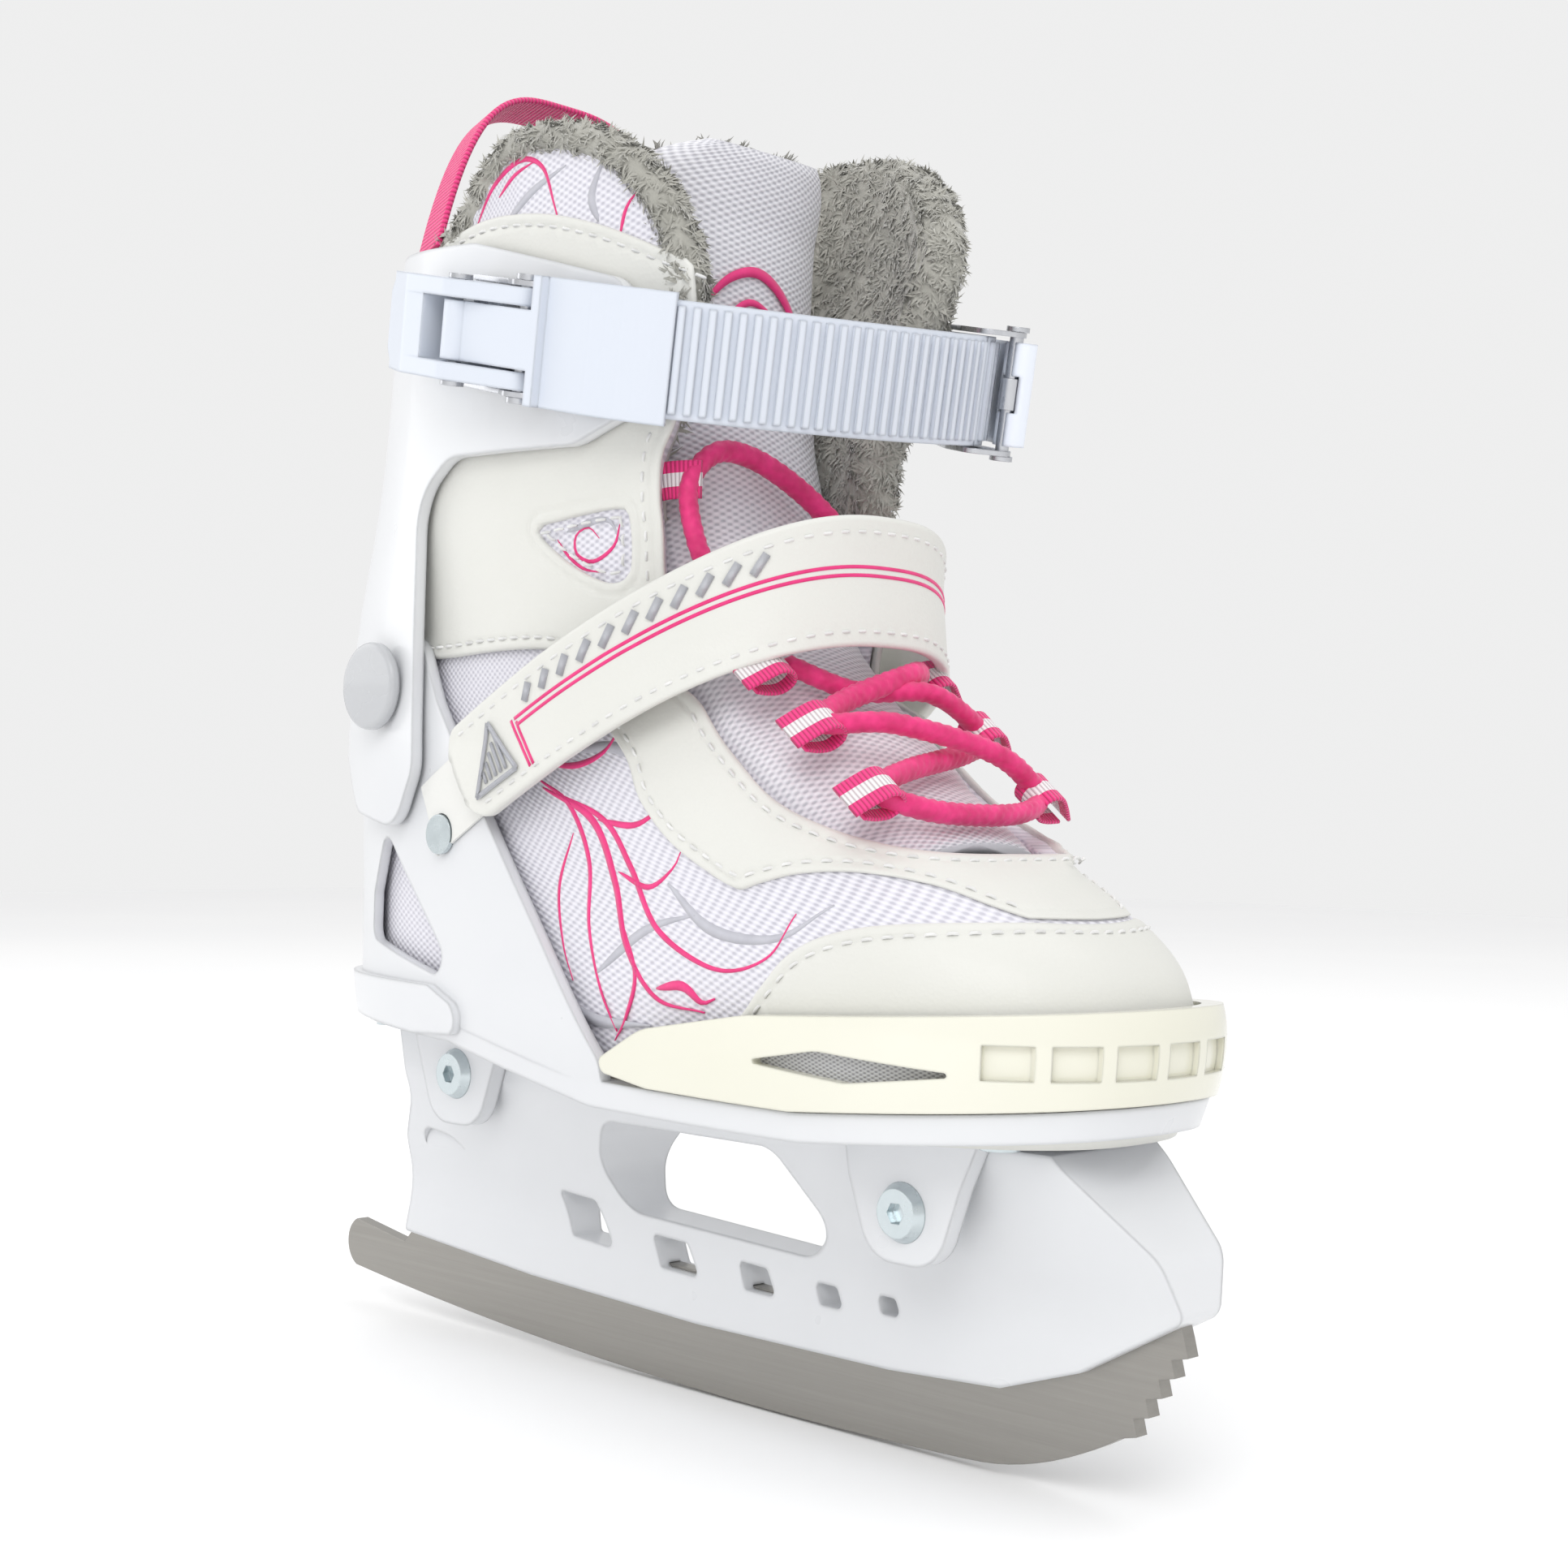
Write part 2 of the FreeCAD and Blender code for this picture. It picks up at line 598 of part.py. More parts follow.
def make_boot_lower():
    split = PIVOT[1] - 1.5
    outer = boot_form(62, split, 0.0)
    inner = boot_form(61, split + 1, -BOOT_WALL)
    inner = inner.common(above_plate(BOARD_THICKNESS + BOOT_WALL, 200))
    outer = outer.common(above_plate(BOARD_THICKNESS + SOFT_GAP, 200))
    toe_roof = prism([(-140, 60), (140, 60), (140, 96), (112, 104, 20), (88, 113, 30), (52, 144, 30), (30, 200),
                      (-140, 200)], "XZ", -80, 80)
    inner = inner.common(toe_roof)
    return outer.cut(inner).cut(throat_box(-8, 120, THROAT_HALF, 12)).cut(pivot_clearance())


def pivot_clearance():
    """Room for the ankle rivets' inner heads."""
    x, z = PIVOT
    return rod(x, z, -80, 80, 8.0)


def shaft_profile():
    """Side outline of the shaft, from the flex wedge to the collar."""
    ahead_x, ahead_z = flex_line_point(FLEX_FORWARD + FLEX_SPARE)
    x, z = PIVOT
    rise = math.tan(math.radians(FLEX_BACK + FLEX_SPARE)) * 80
    slope = (ahead_z - z) / (ahead_x - x)
    front = FLAP_FRONT_X
    return [(x, z + 2), (front - 8, z + 2 + slope * (front - 8 - x), 6), (front - 10, 200, 20), (front, 232, 10),
            (front, 256, 12), (8, 283, 25), (-26, 291, 22), (-54, 270, 14), (-130, 271), (-130, z + 2 + rise)]


def make_boot_shaft():
    inset = lambda level: -1.6 if level < 195 else 0.0
    inside = lambda level: inset(level) - BOOT_WALL
    wall = boot_form(160, 296, inset).cut(boot_form(159, 297, inside))
    wall = wall.common(prism(shaft_profile(), "XZ", -80, 80)).cut(pivot_clearance())
    return wall.cut(box((0, -THROAT_HALF, 150), (80, THROAT_HALF, 310)))


def make_collar():
    """Plush lining that stands above the shaft all round."""
    inside = -BOOT_WALL - SOFT_GAP - 1.6
    wall = boot_form(200, 299, inside).cut(boot_form(199, 300, inside - LINING_WALL))
    profile = [(-130, 205), (6, 205, 8), (FLAP_FRONT_X - 6, 236, 10), (FLAP_FRONT_X - 2, 262, 10), (10, 288, 20),
               (-26, 297, 24), (-56, 276, 14), (-130, 277)]
    wall = wall.common(prism(profile, "XZ", -80, 80))
    return wall.cut(box((-6, -THROAT_HALF, 150), (80, THROAT_HALF, 310)))


def make_gusset():
    """Folded flex zone between the lower boot and the shaft."""
    x, z = PIVOT
    ahead = math.radians(FLEX_FORWARD + FLEX_SPARE)
    back = math.radians(FLEX_BACK + FLEX_SPARE)
    reach = 95.0
    low = z - 1.5 + SOFT_GAP
    profile = [(x, low), (x + reach, low), (x + reach - 6, z + 1.4 + (reach - 6) * math.tan(ahead)), (x, z + 1.4),
               (x - 60, z + 1.4 + 60 * math.tan(back)), (x - 60, low)]
    wall = boot_form(156, 196, -2.4).cut(boot_form(155, 197, -BOOT_WALL - 1.0))
    wall = wall.common(prism(profile, "XZ", -80, 80))
    return wall.cut(box((-20, -THROAT_HALF, 150), (80, THROAT_HALF, 310))).cut(pivot_clearance())


def tongue_strip(middle, half):
    """Slab that follows a side line, TONGUE_THICKNESS thick below it."""
    front = [(x, z, 30) for x, z in middle]
    normals = []
    for index in range(len(middle)):
        first = middle[max(index - 1, 0)]
        last = middle[min(index + 1, len(middle) - 1)]
        length = math.hypot(last[0] - first[0], last[1] - first[1])
        normals.append(((last[1] - first[1]) / length, -(last[0] - first[0]) / length))
    rear = [(p[0] - n[0] * TONGUE_THICKNESS, p[1] - n[1] * TONGUE_THICKNESS, 30) for p, n in zip(middle, normals)]
    front[0], front[-1] = front[0][:2], front[-1][:2]
    rear[0], rear[-1] = rear[0][:2], rear[-1][:2]
    return prism(front + rear[::-1], "XZ", -half, half)


def make_tongue_lower():
    slope = math.tan(math.radians(LACE_SLOPE))
    start = (LACE_ORIGIN.x + 4, LACE_ORIGIN.z - 5)
    end_x = LACE_ORIGIN.x - (158 - LACE_ORIGIN.z) / slope
    return tongue_strip((start, (66, 137), (end_x - 1.5, 157)), TONGUE_HALF)


def make_tongue_upper():
    return tongue_strip(((22, 178), (16, 200), (9, 236), (9, 262), (11, 284)), TONGUE_HALF)


def make_tongue_gusset():
    return tongue_strip(((40.5, 159), (32, 166), (23.5, 176)), TONGUE_HALF)


def make_lasting_board():
    form = boot_form(62, 100, -2.0)
    return form.common(prism(band(0.02, BOARD_THICKNESS), "XZ", -80, 80)).cut(sole_screw_shape(SOLE_SCREW_R, 0.0))


def make_insole():
    low = BOARD_THICKNESS + BOOT_WALL + SOFT_GAP
    form = boot_form(62, 110, -BOOT_WALL - 1.5)
    return form.common(prism(band(low, low + INSOLE_THICKNESS), "XZ", -80, 80))


# ---------------------------------------------------------------------- cuff
def cuff_inside(level):
    """Growth of the cuff's inside over the boot: wide at the shell's arms, close at the shaft."""
    low = SHELL_GAP + SHELL_WALL + CUFF_GAP
    if level <= 172:
        return low
    if level >= 206:
        return 1.0
    return low + (1.0 - low) * (level - 172) / 34.0


def make_cuff():
    outside = lambda level: cuff_inside(level) + CUFF_WALL
    wall = boot_form(126, 276, outside).cut(boot_form(125, 277, cuff_inside))
    x, z = PIVOT
    profile = [(-135, 146), (-100, 146, 10), (x - 17, 132, 9), (x + 8, 128, 10), (x + 17, 142, 10),
               (-58, 174, 14), (-60, 206, 14), (-46, 214.5, 12), (-2, 213, 14), (14, 219, 5), (14, 247, 6),
               (-8, 254, 14), (-34, 262, 14), (-70, 266, 20), (-135, 268)]
    wall = wall.common(prism(profile, "XZ", -80, 80))
    wall = wall.cut(rod(x, z, -80, 80, PIVOT_R + PIVOT_FIT))
    for tool in buckle_rivet_holes():
        wall = wall.cut(tool)
    return wall


def side_rivet(x, z, side, inner_grow, outer_grow, radius, head_radius, head_height, back_radius):
    """Rivet through a side wall: shank, outer head and a flat head behind the wall."""
    inner = abs(boot_side(x, z, side, inner_grow))
    outer = seat_level(x, z, side, outer_grow, head_radius)
    shank = rod(x, z, inner + 0.3, outer + 0.2, radius)
    shapes = [shank, rod(x, z, outer + 0.1, outer + 0.1 + head_height, head_radius)]
    if back_radius:
        low = min(abs(boot_side(x - back_radius, level, side, inner_grow)) for level in (z - 6, z + 6))
        shapes.append(rod(x, z, low - 1.3, low - 0.2, back_radius))
        shapes.append(rod(x, z, low - 1.0, inner + 1.0, radius))
    shape = fuse(shapes)
    return shape if side > 0 else mirror_y(shape)


def seat_level(x, z, side, grow, radius):
    """Height of a flat head of this radius on the curved side of the boot."""
    places = ((x - radius, z), (x + radius, z), (x, z - radius), (x, z + radius), (x, z))
    return max(abs(boot_side(u, w, side, grow)) for u, w in places)


def make_pivot_rivets():
    x, z = PIVOT
    outer = SHELL_GAP + SHELL_WALL + CUFF_GAP + CUFF_WALL
    shapes = []
    for side in (-1, 1):
        shapes.append(side_rivet(x, z, side, SHELL_GAP, outer, PIVOT_R, CAP_R * 0.75, 1.2, 6.5))
    return Part.makeCompound(shapes)


def make_pivot_caps():
    """Round covers over the ankle rivets."""
    x, z = PIVOT
    shapes = []
    for side in (-1, 1):
        outer = SHELL_GAP + SHELL_WALL + CUFF_GAP + CUFF_WALL
        seat = seat_level(x, z, side, outer, CAP_R * 0.75) + 1.35
        cap = rod(x, z, seat, seat + CAP_H, CAP_R)
        cap = cap.makeFillet(1.2, [max(cap.Edges, key=lambda edge: edge.CenterOfMass.y)])
        shapes.append(cap if side > 0 else mirror_y(cap))
    return Part.makeCompound(shapes)


def make_shell_rivets():
    x, z = SHELL_RIVET
    shapes = []
    for side, outer in ((-1, SHELL_GAP + SHELL_WALL), (1, instep_gap(z) + INSTEP_THICKNESS)):
        shapes.append(side_rivet(x, z, side, SHELL_GAP, outer, SHELL_RIVET_R, RIVET_HEAD_R, 1.3, 0))
    return Part.makeCompound(shapes)


# -------------------------------------------------------------- instep strap
def instep_slab(half, low_x, high_x):
    """Slab that holds the instep strap, tilted up to the front."""
    slab = Part.makeBox(high_x - low_x, 160, 2 * half, V(low_x, -80, -half))
    slab.rotate(V(0, 0, 0), V(0, 1, 0), -INSTEP_SLOPE)
    slab.translate(V(INSTEP_CENTRE[0], 0, INSTEP_CENTRE[1]))
    return slab


def instep_gap(level):
    """Boot surface to the inside of the instep strap."""
    share = min(max((level - 148) / 18.0, 0.0), 1.0)
    return INSTEP_GAP + (INSTEP_GAP_FRONT - INSTEP_GAP) * share


def instep_wall(inside, thickness):
    """Wall round the instep; inside is its inner growth as a function of the level."""
    outside = lambda level: inside(level) + thickness
    return boot_form(112, 225, outside).cut(boot_form(111, 226, inside))


def lateral_part(clear):
    """Lateral side of the strap, behind the line where the flap bends away."""
    reach = (INSTEP_HINGE_X - INSTEP_CENTRE[0]) / math.cos(math.radians(INSTEP_SLOPE))
    region = Part.makeBox(200, 80, 200, V(reach - 200 - clear, -80, -100))
    region.rotate(V(0, 0, 0), V(0, 1, 0), -INSTEP_SLOPE)
    region.translate(V(INSTEP_CENTRE[0], 0, INSTEP_CENTRE[1]))
    return region


def make_strap_wrap():
    """Part of the instep strap that stays with the boot: front and medial side."""
    wall = instep_wall(instep_gap, INSTEP_THICKNESS)
    band_part = wall.common(instep_slab(INSTEP_HALF, -26, 140))
    band_part = band_part.cut(lateral_part(0.0)).cut(box((-150, -80, 60), (-52, 80, 260)))
    return band_part.cut(rod(SHELL_RIVET[0], SHELL_RIVET[1], 0, 80, SHELL_RIVET_R))


def make_strap_flap():
    """Free end of the instep strap, which peels off the lateral side."""
    wall = instep_wall(instep_gap, INSTEP_THICKNESS)
    band_part = wall.common(instep_slab(INSTEP_HALF, -7, 140))
    return band_part.common(lateral_part(FLAP_CLEAR))


def make_under_strap():
    """Loop strip below the flap, riveted to the lateral arm of the shell."""
    wall = instep_wall(lambda level: SHELL_GAP + SHELL_WALL + 0.4, 0.7)
    slab = instep_slab(INSTEP_HALF - 3.5, -17.5, 60)
    strip = wall.common(slab).common(box((-150, -80, 60), (12, 0, 260)))
    return strip.cut(rod(SHELL_RIVET[0], SHELL_RIVET[1], -80, 0, RIVET_HEAD_R + 0.3))


def make_grip_patch():
    """Raised triangular grip on the flap's end."""
    wall = instep_wall(lambda level: instep_gap(level) + INSTEP_THICKNESS, 0.8)
    patch = Part.makeBox(24, 60, 16, V(-4, -70, -8))
    patch.rotate(V(0, 0, 0), V(0, 1, 0), -INSTEP_SLOPE)
    patch.translate(V(INSTEP_CENTRE[0], 0, INSTEP_CENTRE[1]))
    return wall.common(patch)


# ---------------------------------------------------------------- ankle strap
def to_strap(shape):
    """From the strap frame (its plane is z = 0) to the skate."""
    normal = V(-STRAP_TILT[0], -STRAP_TILT[1], 1)
    copy = shape.copy()
    copy.Placement = FreeCAD.Placement(V(0, 0, STRAP_Z), FreeCAD.Rotation(V(0, 0, 1), normal))
    return copy


def run_path(start, heading, runs):
    """Points and headings along straight runs and arcs: (length,) or (radius, turn in degrees)."""
    path = [(start[0], start[1], heading)]
    for run in runs:
        x, y, angle = path[-1]
        if len(run) == 1:
            turn = math.radians(angle)
            path.append((x + run[0] * math.cos(turn), y + run[0] * math.sin(turn), angle))
            continue
        radius, sweep = run
        count = max(2, int(abs(sweep) / 6))
        for step in range(1, count + 1):
            new = angle + sweep * step / count
            a, b = math.radians(angle), math.radians(new)
            path.append((x + radius * (math.sin(b) - math.sin(a)), y + radius * (math.cos(a) - math.cos(b)), new))
    return path


def path_band(path, inside, outside, half):
    """Flat band that follows a plan path between two offsets, half wide each way."""
    rows = []
    for offset in (outside, inside):
        row = []
        for x, y, heading in path:
            turn = math.radians(heading)
            row.append((x + offset * math.sin(turn), y - offset * math.cos(turn)))
        rows.append(row)
    return prism(rows[0] + rows[1][::-1], "XY", -half, half)


def ladder_path():
    return run_path(SLEEVE_START, SLEEVE_HEADING, LADDER_RUNS)


def ladder_teeth(path, half):
    """Square teeth on the outside of the ladder, one every TOOTH_PITCH."""
    teeth = []
    travelled = 0.0
    next_tooth = 32.0 if path[0][:2] == SLEEVE_START else 2.0
    for a, b in zip(path, path[1:]):
        length = math.dist(a[:2], b[:2])
        while next_tooth < travelled + length - 0.4:
            share = (next_tooth - travelled) / length
            x, y = (a[i] + (b[i] - a[i]) * share for i in (0, 1))
            heading = math.radians(a[2] + (b[2] - a[2]) * share)
            tooth = Part.makeBox(TOOTH_PITCH * 0.5, TOOTH_HEIGHT + 0.3, 2 * half,
                                 V(-TOOTH_PITCH * 0.25, -STRAP_THICKNESS / 2 - TOOTH_HEIGHT, -half))
            tooth.rotate(V(0, 0, 0), V(0, 0, 1), math.degrees(heading))
            tooth.translate(V(x, y, 0))
            teeth.append(tooth)
            next_tooth += TOOTH_PITCH
        travelled += length
    return teeth


def make_ladder(path):
    strap = path_band(path, -STRAP_THICKNESS / 2, STRAP_THICKNESS / 2, STRAP_HALF)
    for tooth in ladder_teeth(path, STRAP_HALF - 1.2):
        strap = strap.fuse(tooth)
    return to_strap(strap.removeSplitter())


def make_ladder_strap():
    return make_ladder(ladder_path())


def make_ladder_end():
    x, y, heading = ladder_path()[-1]
    turn = math.radians(heading)
    start = (x + 0.6 * math.cos(turn), y + 0.6 * math.sin(turn))
    return make_ladder(run_path(start, heading, TAIL_RUNS))


def make_carrier():
    """Plastic carrier: tongue between the lever's arms and a sleeve round the ladder's end."""
    path = run_path(SLEEVE_START, SLEEVE_HEADING, ((10.0,), (30.0, 40.0)))
    outer = path_band(path, -STRAP_THICKNESS / 2 - SLEEVE_WALL, STRAP_THICKNESS / 2 + SLEEVE_WALL, SLEEVE_HALF)
    hollow = path_band(run_path(SLEEVE_START, SLEEVE_HEADING, LADDER_RUNS[:2]), -STRAP_THICKNESS / 2 - 0.02,
                       STRAP_THICKNESS / 2 + 0.02, STRAP_HALF + 0.02)
    outer = outer.cut(hollow)
    back = math.radians(SLEEVE_HEADING)
    x0, y0 = SLEEVE_START
    reach = (x0 - CARRIER_PIN[0]) / math.cos(back) + 1.0
    tail = run_path((x0 - reach * math.cos(back), y0 - reach * math.sin(back)), SLEEVE_HEADING, ((reach,),))
    tongue = path_band(tail, TONGUE_PLATE_IN, TONGUE_PLATE_OUT, TONGUE_PLATE_HALF)
    block = path_band(run_path((x0 - 1.5 * math.cos(back), y0 - 1.5 * math.sin(back)), SLEEVE_HEADING, ((2.5,),)),
                      -STRAP_THICKNESS / 2 - SLEEVE_WALL, TONGUE_PLATE_OUT, SLEEVE_HALF)
    block = block.cut(hollow)
    carrier = fuse([outer, block, tongue])
    knuckle = post(CARRIER_PIN[0], CARRIER_PIN[1], -TONGUE_PLATE_HALF, TONGUE_PLATE_HALF, KNUCKLE_R)
    carrier = carrier.fuse(knuckle).removeSplitter()
    return to_strap(carrier)


def lever_arm(low, high):
    """Side arm of the lever, in plan."""
    x, y = LEVER_PIN
    points = [(x + 3, y - 3, 2.8), (x + 3, y + 2.6, 2.6), (x - 6, y + 2.2, 2), (-42, LEVER_INSIDE_Y, 2),
              (-54, LEVER_INSIDE_Y, 2), (-56, -54.5, 1), (-42, -61.2, 4), (CARRIER_PIN[0], -61.6, 4)]
    return prism(points, "XY", low, high)


def make_buckle_lever():
    outer = TONGUE_PLATE_HALF + 0.6 + LEVER_ARM
    arms = [lever_arm(TONGUE_PLATE_HALF + 0.6, outer), lever_arm(-outer, -TONGUE_PLATE_HALF - 0.6)]
    handle_front = CARRIER_PIN[0] - 8.0
    side = [(handle_front, -outer), (-52, -outer, 5), (-59, -outer + 5, 4), (-59, outer - 5, 4), (-52, outer, 5),
            (handle_front, outer)]
    handle = prism(side, "XZ", -66, -40)
    handle = handle.common(prism([(handle_front, -61.2), (handle_front, LEVER_INSIDE_Y), (-59, LEVER_INSIDE_Y, 1.5),
                                  (-59, -53.2, 1.5), (-42, -61.2, 4)], "XY", -outer, outer))
    lever = fuse(arms + [handle])
    for x, y in (LEVER_PIN, CARRIER_PIN):
        lever = lever.cut(post(x, y, -30, 30, PIN_R + (PIN_FIT if (x, y) == LEVER_PIN else 0.0)))
    return to_strap(lever)


def make_carrier_pins():
    """Stub rivets that hold the carrier's tongue between the lever's arms."""
    outer = TONGUE_PLATE_HALF + 0.6 + LEVER_ARM
    shapes = []
    for side in (-1, 1):
        low, high = sorted((side * (TONGUE_PLATE_HALF + 0.4), side * (outer + 0.2)))
        head_low, head_high = sorted((side * (outer + 0.05), side * (outer + 1.2)))
        stub = post(*CARRIER_PIN, low, high, PIN_R)
        head = post(*CARRIER_PIN, head_low, head_high, PIN_R + 1.1)
        shapes.append(stub.fuse(head).removeSplitter())
    return to_strap(Part.makeCompound(shapes))


BUCKLE_EAR_LOW = TONGUE_PLATE_HALF + 0.6 + LEVER_ARM + 0.3


def make_buckle_base():
    """Sheet steel base of the lateral buckle: back plate and two ears."""
    x, y = LEVER_PIN
    seat = LATERAL_SEAT_Y
    half = BUCKLE_EAR_LOW + EAR_PLATE
    back = box((-33, seat - EAR_PLATE, -half), (x + 4, seat, half))
    ear_plan = [(-33, seat), (-33, seat - 2.4, 1), (x - 6, y - 1, 3), (x - 1, y - 4.0, 3), (x + 4.4, y - 1, 3),
                (x + 4, seat)]
    shapes = [back, prism(ear_plan, "XY", BUCKLE_EAR_LOW, BUCKLE_EAR_LOW + EAR_PLATE),
              prism(ear_plan, "XY", -BUCKLE_EAR_LOW - EAR_PLATE, -BUCKLE_EAR_LOW)]
    base = fuse(shapes)
    base = base.cut(post(*LEVER_PIN, -30, 30, PIN_R))
    for x in LATERAL_RIVET_XS:
        base = base.cut(rod(x, 0, seat - 5, seat + 5, PIN_R))
    return to_strap(base)


def make_lever_pin():
    """Riveted pin of the lever, with a domed head at each end."""
    reach = BUCKLE_EAR_LOW + EAR_PLATE
    pin = post(*LEVER_PIN, -reach - 0.3, reach + 0.3, PIN_R)
    for low, high in ((-reach - 1.4, -reach - 0.05), (reach + 0.05, reach + 1.4)):
        pin = pin.fuse(post(*LEVER_PIN, low, high, PIN_R + 1.3))
    return to_strap(pin.removeSplitter())


def buckle_rivet_holes():
    """Holes for the buckles' rivets through the cuff."""
    tools = [to_strap(rod(x, 0, LATERAL_SEAT_Y - 1, LATERAL_SEAT_Y + 9, PIN_R)) for x in LATERAL_RIVET_XS]
    tools += [to_strap(rod(x, 0, MEDIAL_SEAT_Y - 9, MEDIAL_SEAT_Y + 1, PIN_R)) for x in MEDIAL_RIVET_XS]
    return tools


def make_buckle_rivets():
    """Rivets that hold both buckles to the cuff: a shank and a flat head each."""
    shapes = []
    for xs, side, seat in ((LATERAL_RIVET_XS, -1, LATERAL_SEAT_Y), (MEDIAL_RIVET_XS, 1, MEDIAL_SEAT_Y)):
        face = seat + side * EAR_PLATE
        for x in xs:
            low, high = sorted((boot_side(x, STRAP_Z, side, 1.3), face + side * 0.3))
            head_low, head_high = sorted((face + side * 0.02, face + side * 0.7))
            shank = rod(x, 0, low, high, PIN_R)
            head = rod(x, 0, head_low, head_high, PIN_R + 1.2)
            shapes.append(to_strap(shank.fuse(head).removeSplitter()))
    return Part.makeCompound(shapes)


def make_ratchet_frame():
    """Sheet steel frame of the medial ratchet."""
    y = MEDIAL_SEAT_Y
    half = STRAP_HALF + 0.5
    back = box((-2, y, -half - EAR_PLATE), (25, y + EAR_PLATE, half + EAR_PLATE))
    ear_plan = [(-2, y), (25, y), (37, 38, 4), (46, 36, 4), (CATCH_PIN[0] + 4.0, CATCH_PIN[1], 4),
                (CATCH_PIN[0] - 3, CATCH_PIN[1] + 4.5, 4), (20, 53, 4), (1, 51, 3)]
    shapes = [back, prism(ear_plan, "XY", half, half + EAR_PLATE), prism(ear_plan, "XY", -half - EAR_PLATE, -half)]
    frame = fuse(shapes).cut(post(*CATCH_PIN, -30, 30, PIN_R))
    for x in MEDIAL_RIVET_XS:
        frame = frame.cut(rod(x, 0, y - 5, y + 5, PIN_R))
    return to_strap(frame)


def make_catch_pin():
    half = STRAP_HALF + 0.5 + EAR_PLATE
    pin = post(*CATCH_PIN, -half - 0.3, half + 0.3, PIN_R)
    for low, high in ((-half - 1.2, -half - 0.05), (half + 0.05, half + 1.2)):
        pin = pin.fuse(post(*CATCH_PIN, low, high, PIN_R + 1.1))
    return to_strap(pin.removeSplitter())


def make_catch_lever():
    """Release lever of the ratchet, with the tooth that holds the ladder."""
    half = STRAP_HALF - 0.6
    x, y = CATCH_PIN
    plan = [(x + 3.6, y - 2.6, 2.5), (x + 3.6, y + 4, 3), (x - 8, 58, 5), (8, 60, 1.2), (8, 57.6, 1.2),
            (x - 14, 54.6, 4), (x - 5.4, y + 4.2, 1), (x - 3.4, y + 0.2, 1)]
    lever = prism(plan, "XY", -half, half)
    lever = lever.cut(post(x, y, -30, 30, PIN_R + PIN_FIT))
    lever = lever.cut(post(x, y, -4.2, 4.2, PIN_R + 1.3))
    return to_strap(lever)


def make_catch_spring():
    """Torsion spring round the catch pin, as a closed sleeve."""
    x, y = CATCH_PIN
    sleeve = post(x, y, -3.6, 3.6, PIN_R + 1.0).cut(post(x, y, -5, 5, PIN_R + 0.1))
    return to_strap(sleeve)


# ---------------------------------------------------------------- laces, loops
def rounded_route(points):
    """Straight runs joined by tangent arcs, each as large as its two runs allow."""
    edges = []
    last = points[0]
    radii = []
    for before, corner, after in zip(points, points[1:], points[2:]):
        back, ahead = before - corner, after - corner
        turn = math.pi - back.getAngle(ahead)
        cut = 0.45 * min(back.Length, ahead.Length)
        radii.append(cut / math.tan(turn / 2))
        back.normalize()
        ahead.normalize()
        first, final = corner + back * cut, corner + ahead * cut
        half = (math.pi - turn) / 2
        bisector = (back + ahead).normalize()
        middle = corner + bisector * (radii[-1] / math.sin(half) - radii[-1])
        edges.append(Part.LineSegment(last, first).toShape())
        edges.append(Part.Arc(first, middle, final).toShape())
        last = final
    edges.append(Part.LineSegment(last, points[-1]).toShape())
    return Part.Wire(edges)


def tube(points, radius):
    path = rounded_route(points)
    start = points[0]
    way = points[1] - points[0]
    section = Part.Wire([Part.Circle(start, way, radius).toShape()])
    return path.makePipeShell([section], True, False)


def lacing_points(rows):
    """Points given in the lacing frame, in skate coordinates."""
    slope = math.radians(LACE_SLOPE)
    along = V(-math.cos(slope), 0, math.sin(slope))
    above = V(math.sin(slope), 0, math.cos(slope))
    return [LACE_ORIGIN + along * s + V(0, y, 0) + above * h for s, y, h in rows]


def make_lace_lower():
    low, middle, high = LACE_ROWS
    route = [
        (high + 4, -20, 3.5), (high - 6, -6, 4.2), (middle + 7, 10, 9.5), (middle + 1, LOOP_Y, 3.5),
        (middle - 6, 14, 3.6), (low + 8, -12, 3.6), (low + 2, -LOOP_Y, 3.5), (low - 4, -16, 3.5),
        (low - 6, 0, 4.0), (low - 4, 16, 3.5), (low + 2, LOOP_Y, 3.5), (low + 8, 13, 9.5),
        (middle - 5, -12, 9.8), (middle + 1, -LOOP_Y, 4.5), (middle + 8, -14, 5.0), (high - 6, 8, 10.2),
        (high + 2, 21, 4.5),
    ]
    return tube(lacing_points(route), LACE_R)


def make_lace_upper():
    """Top of the lace: up the lateral edge, over the tongue and down below the strap."""
    points = [V(24, -24, 181), V(20, -27, 192), V(17, -27, 204), V(17, -20, 212), V(18, -10, 212),
              V(22, 2, 206), V(26, 12, 197), V(29, 20, 186)]
    return tube(points, LACE_R)


def loop_tab(row, side):
    """Webbing loop sewn to the edge of the throat."""
    y_low, y_high = sorted((side * (LOOP_Y - 3.4), side * (THROAT_HALF + 2)))
    s = LACE_ROWS[row]
    ring_shape = Part.makeBox(LOOP_WIDTH, y_high - y_low, 2 * (LACE_R + LOOP_THICKNESS),
                              V(s - LOOP_WIDTH / 2 + 1, y_low, 3.0 - LACE_R - LOOP_THICKNESS))
    return to_lacing(ring_shape)


def make_lace_loops():
    """Webbing loops down both edges of the throat; the instep strap presses the top pair flat."""
    pressed = instep_wall(lambda level: instep_gap(level) - SOFT_GAP, 20)
    pressed = pressed.common(instep_slab(INSTEP_HALF + SOFT_GAP, -26, 140))
    loops = []
    for row in range(len(LACE_ROWS)):
        for side in (-1, 1):
            tab = loop_tab(row, side)
            loops.append(tab.cut(pressed))
    return Part.makeCompound(loops)


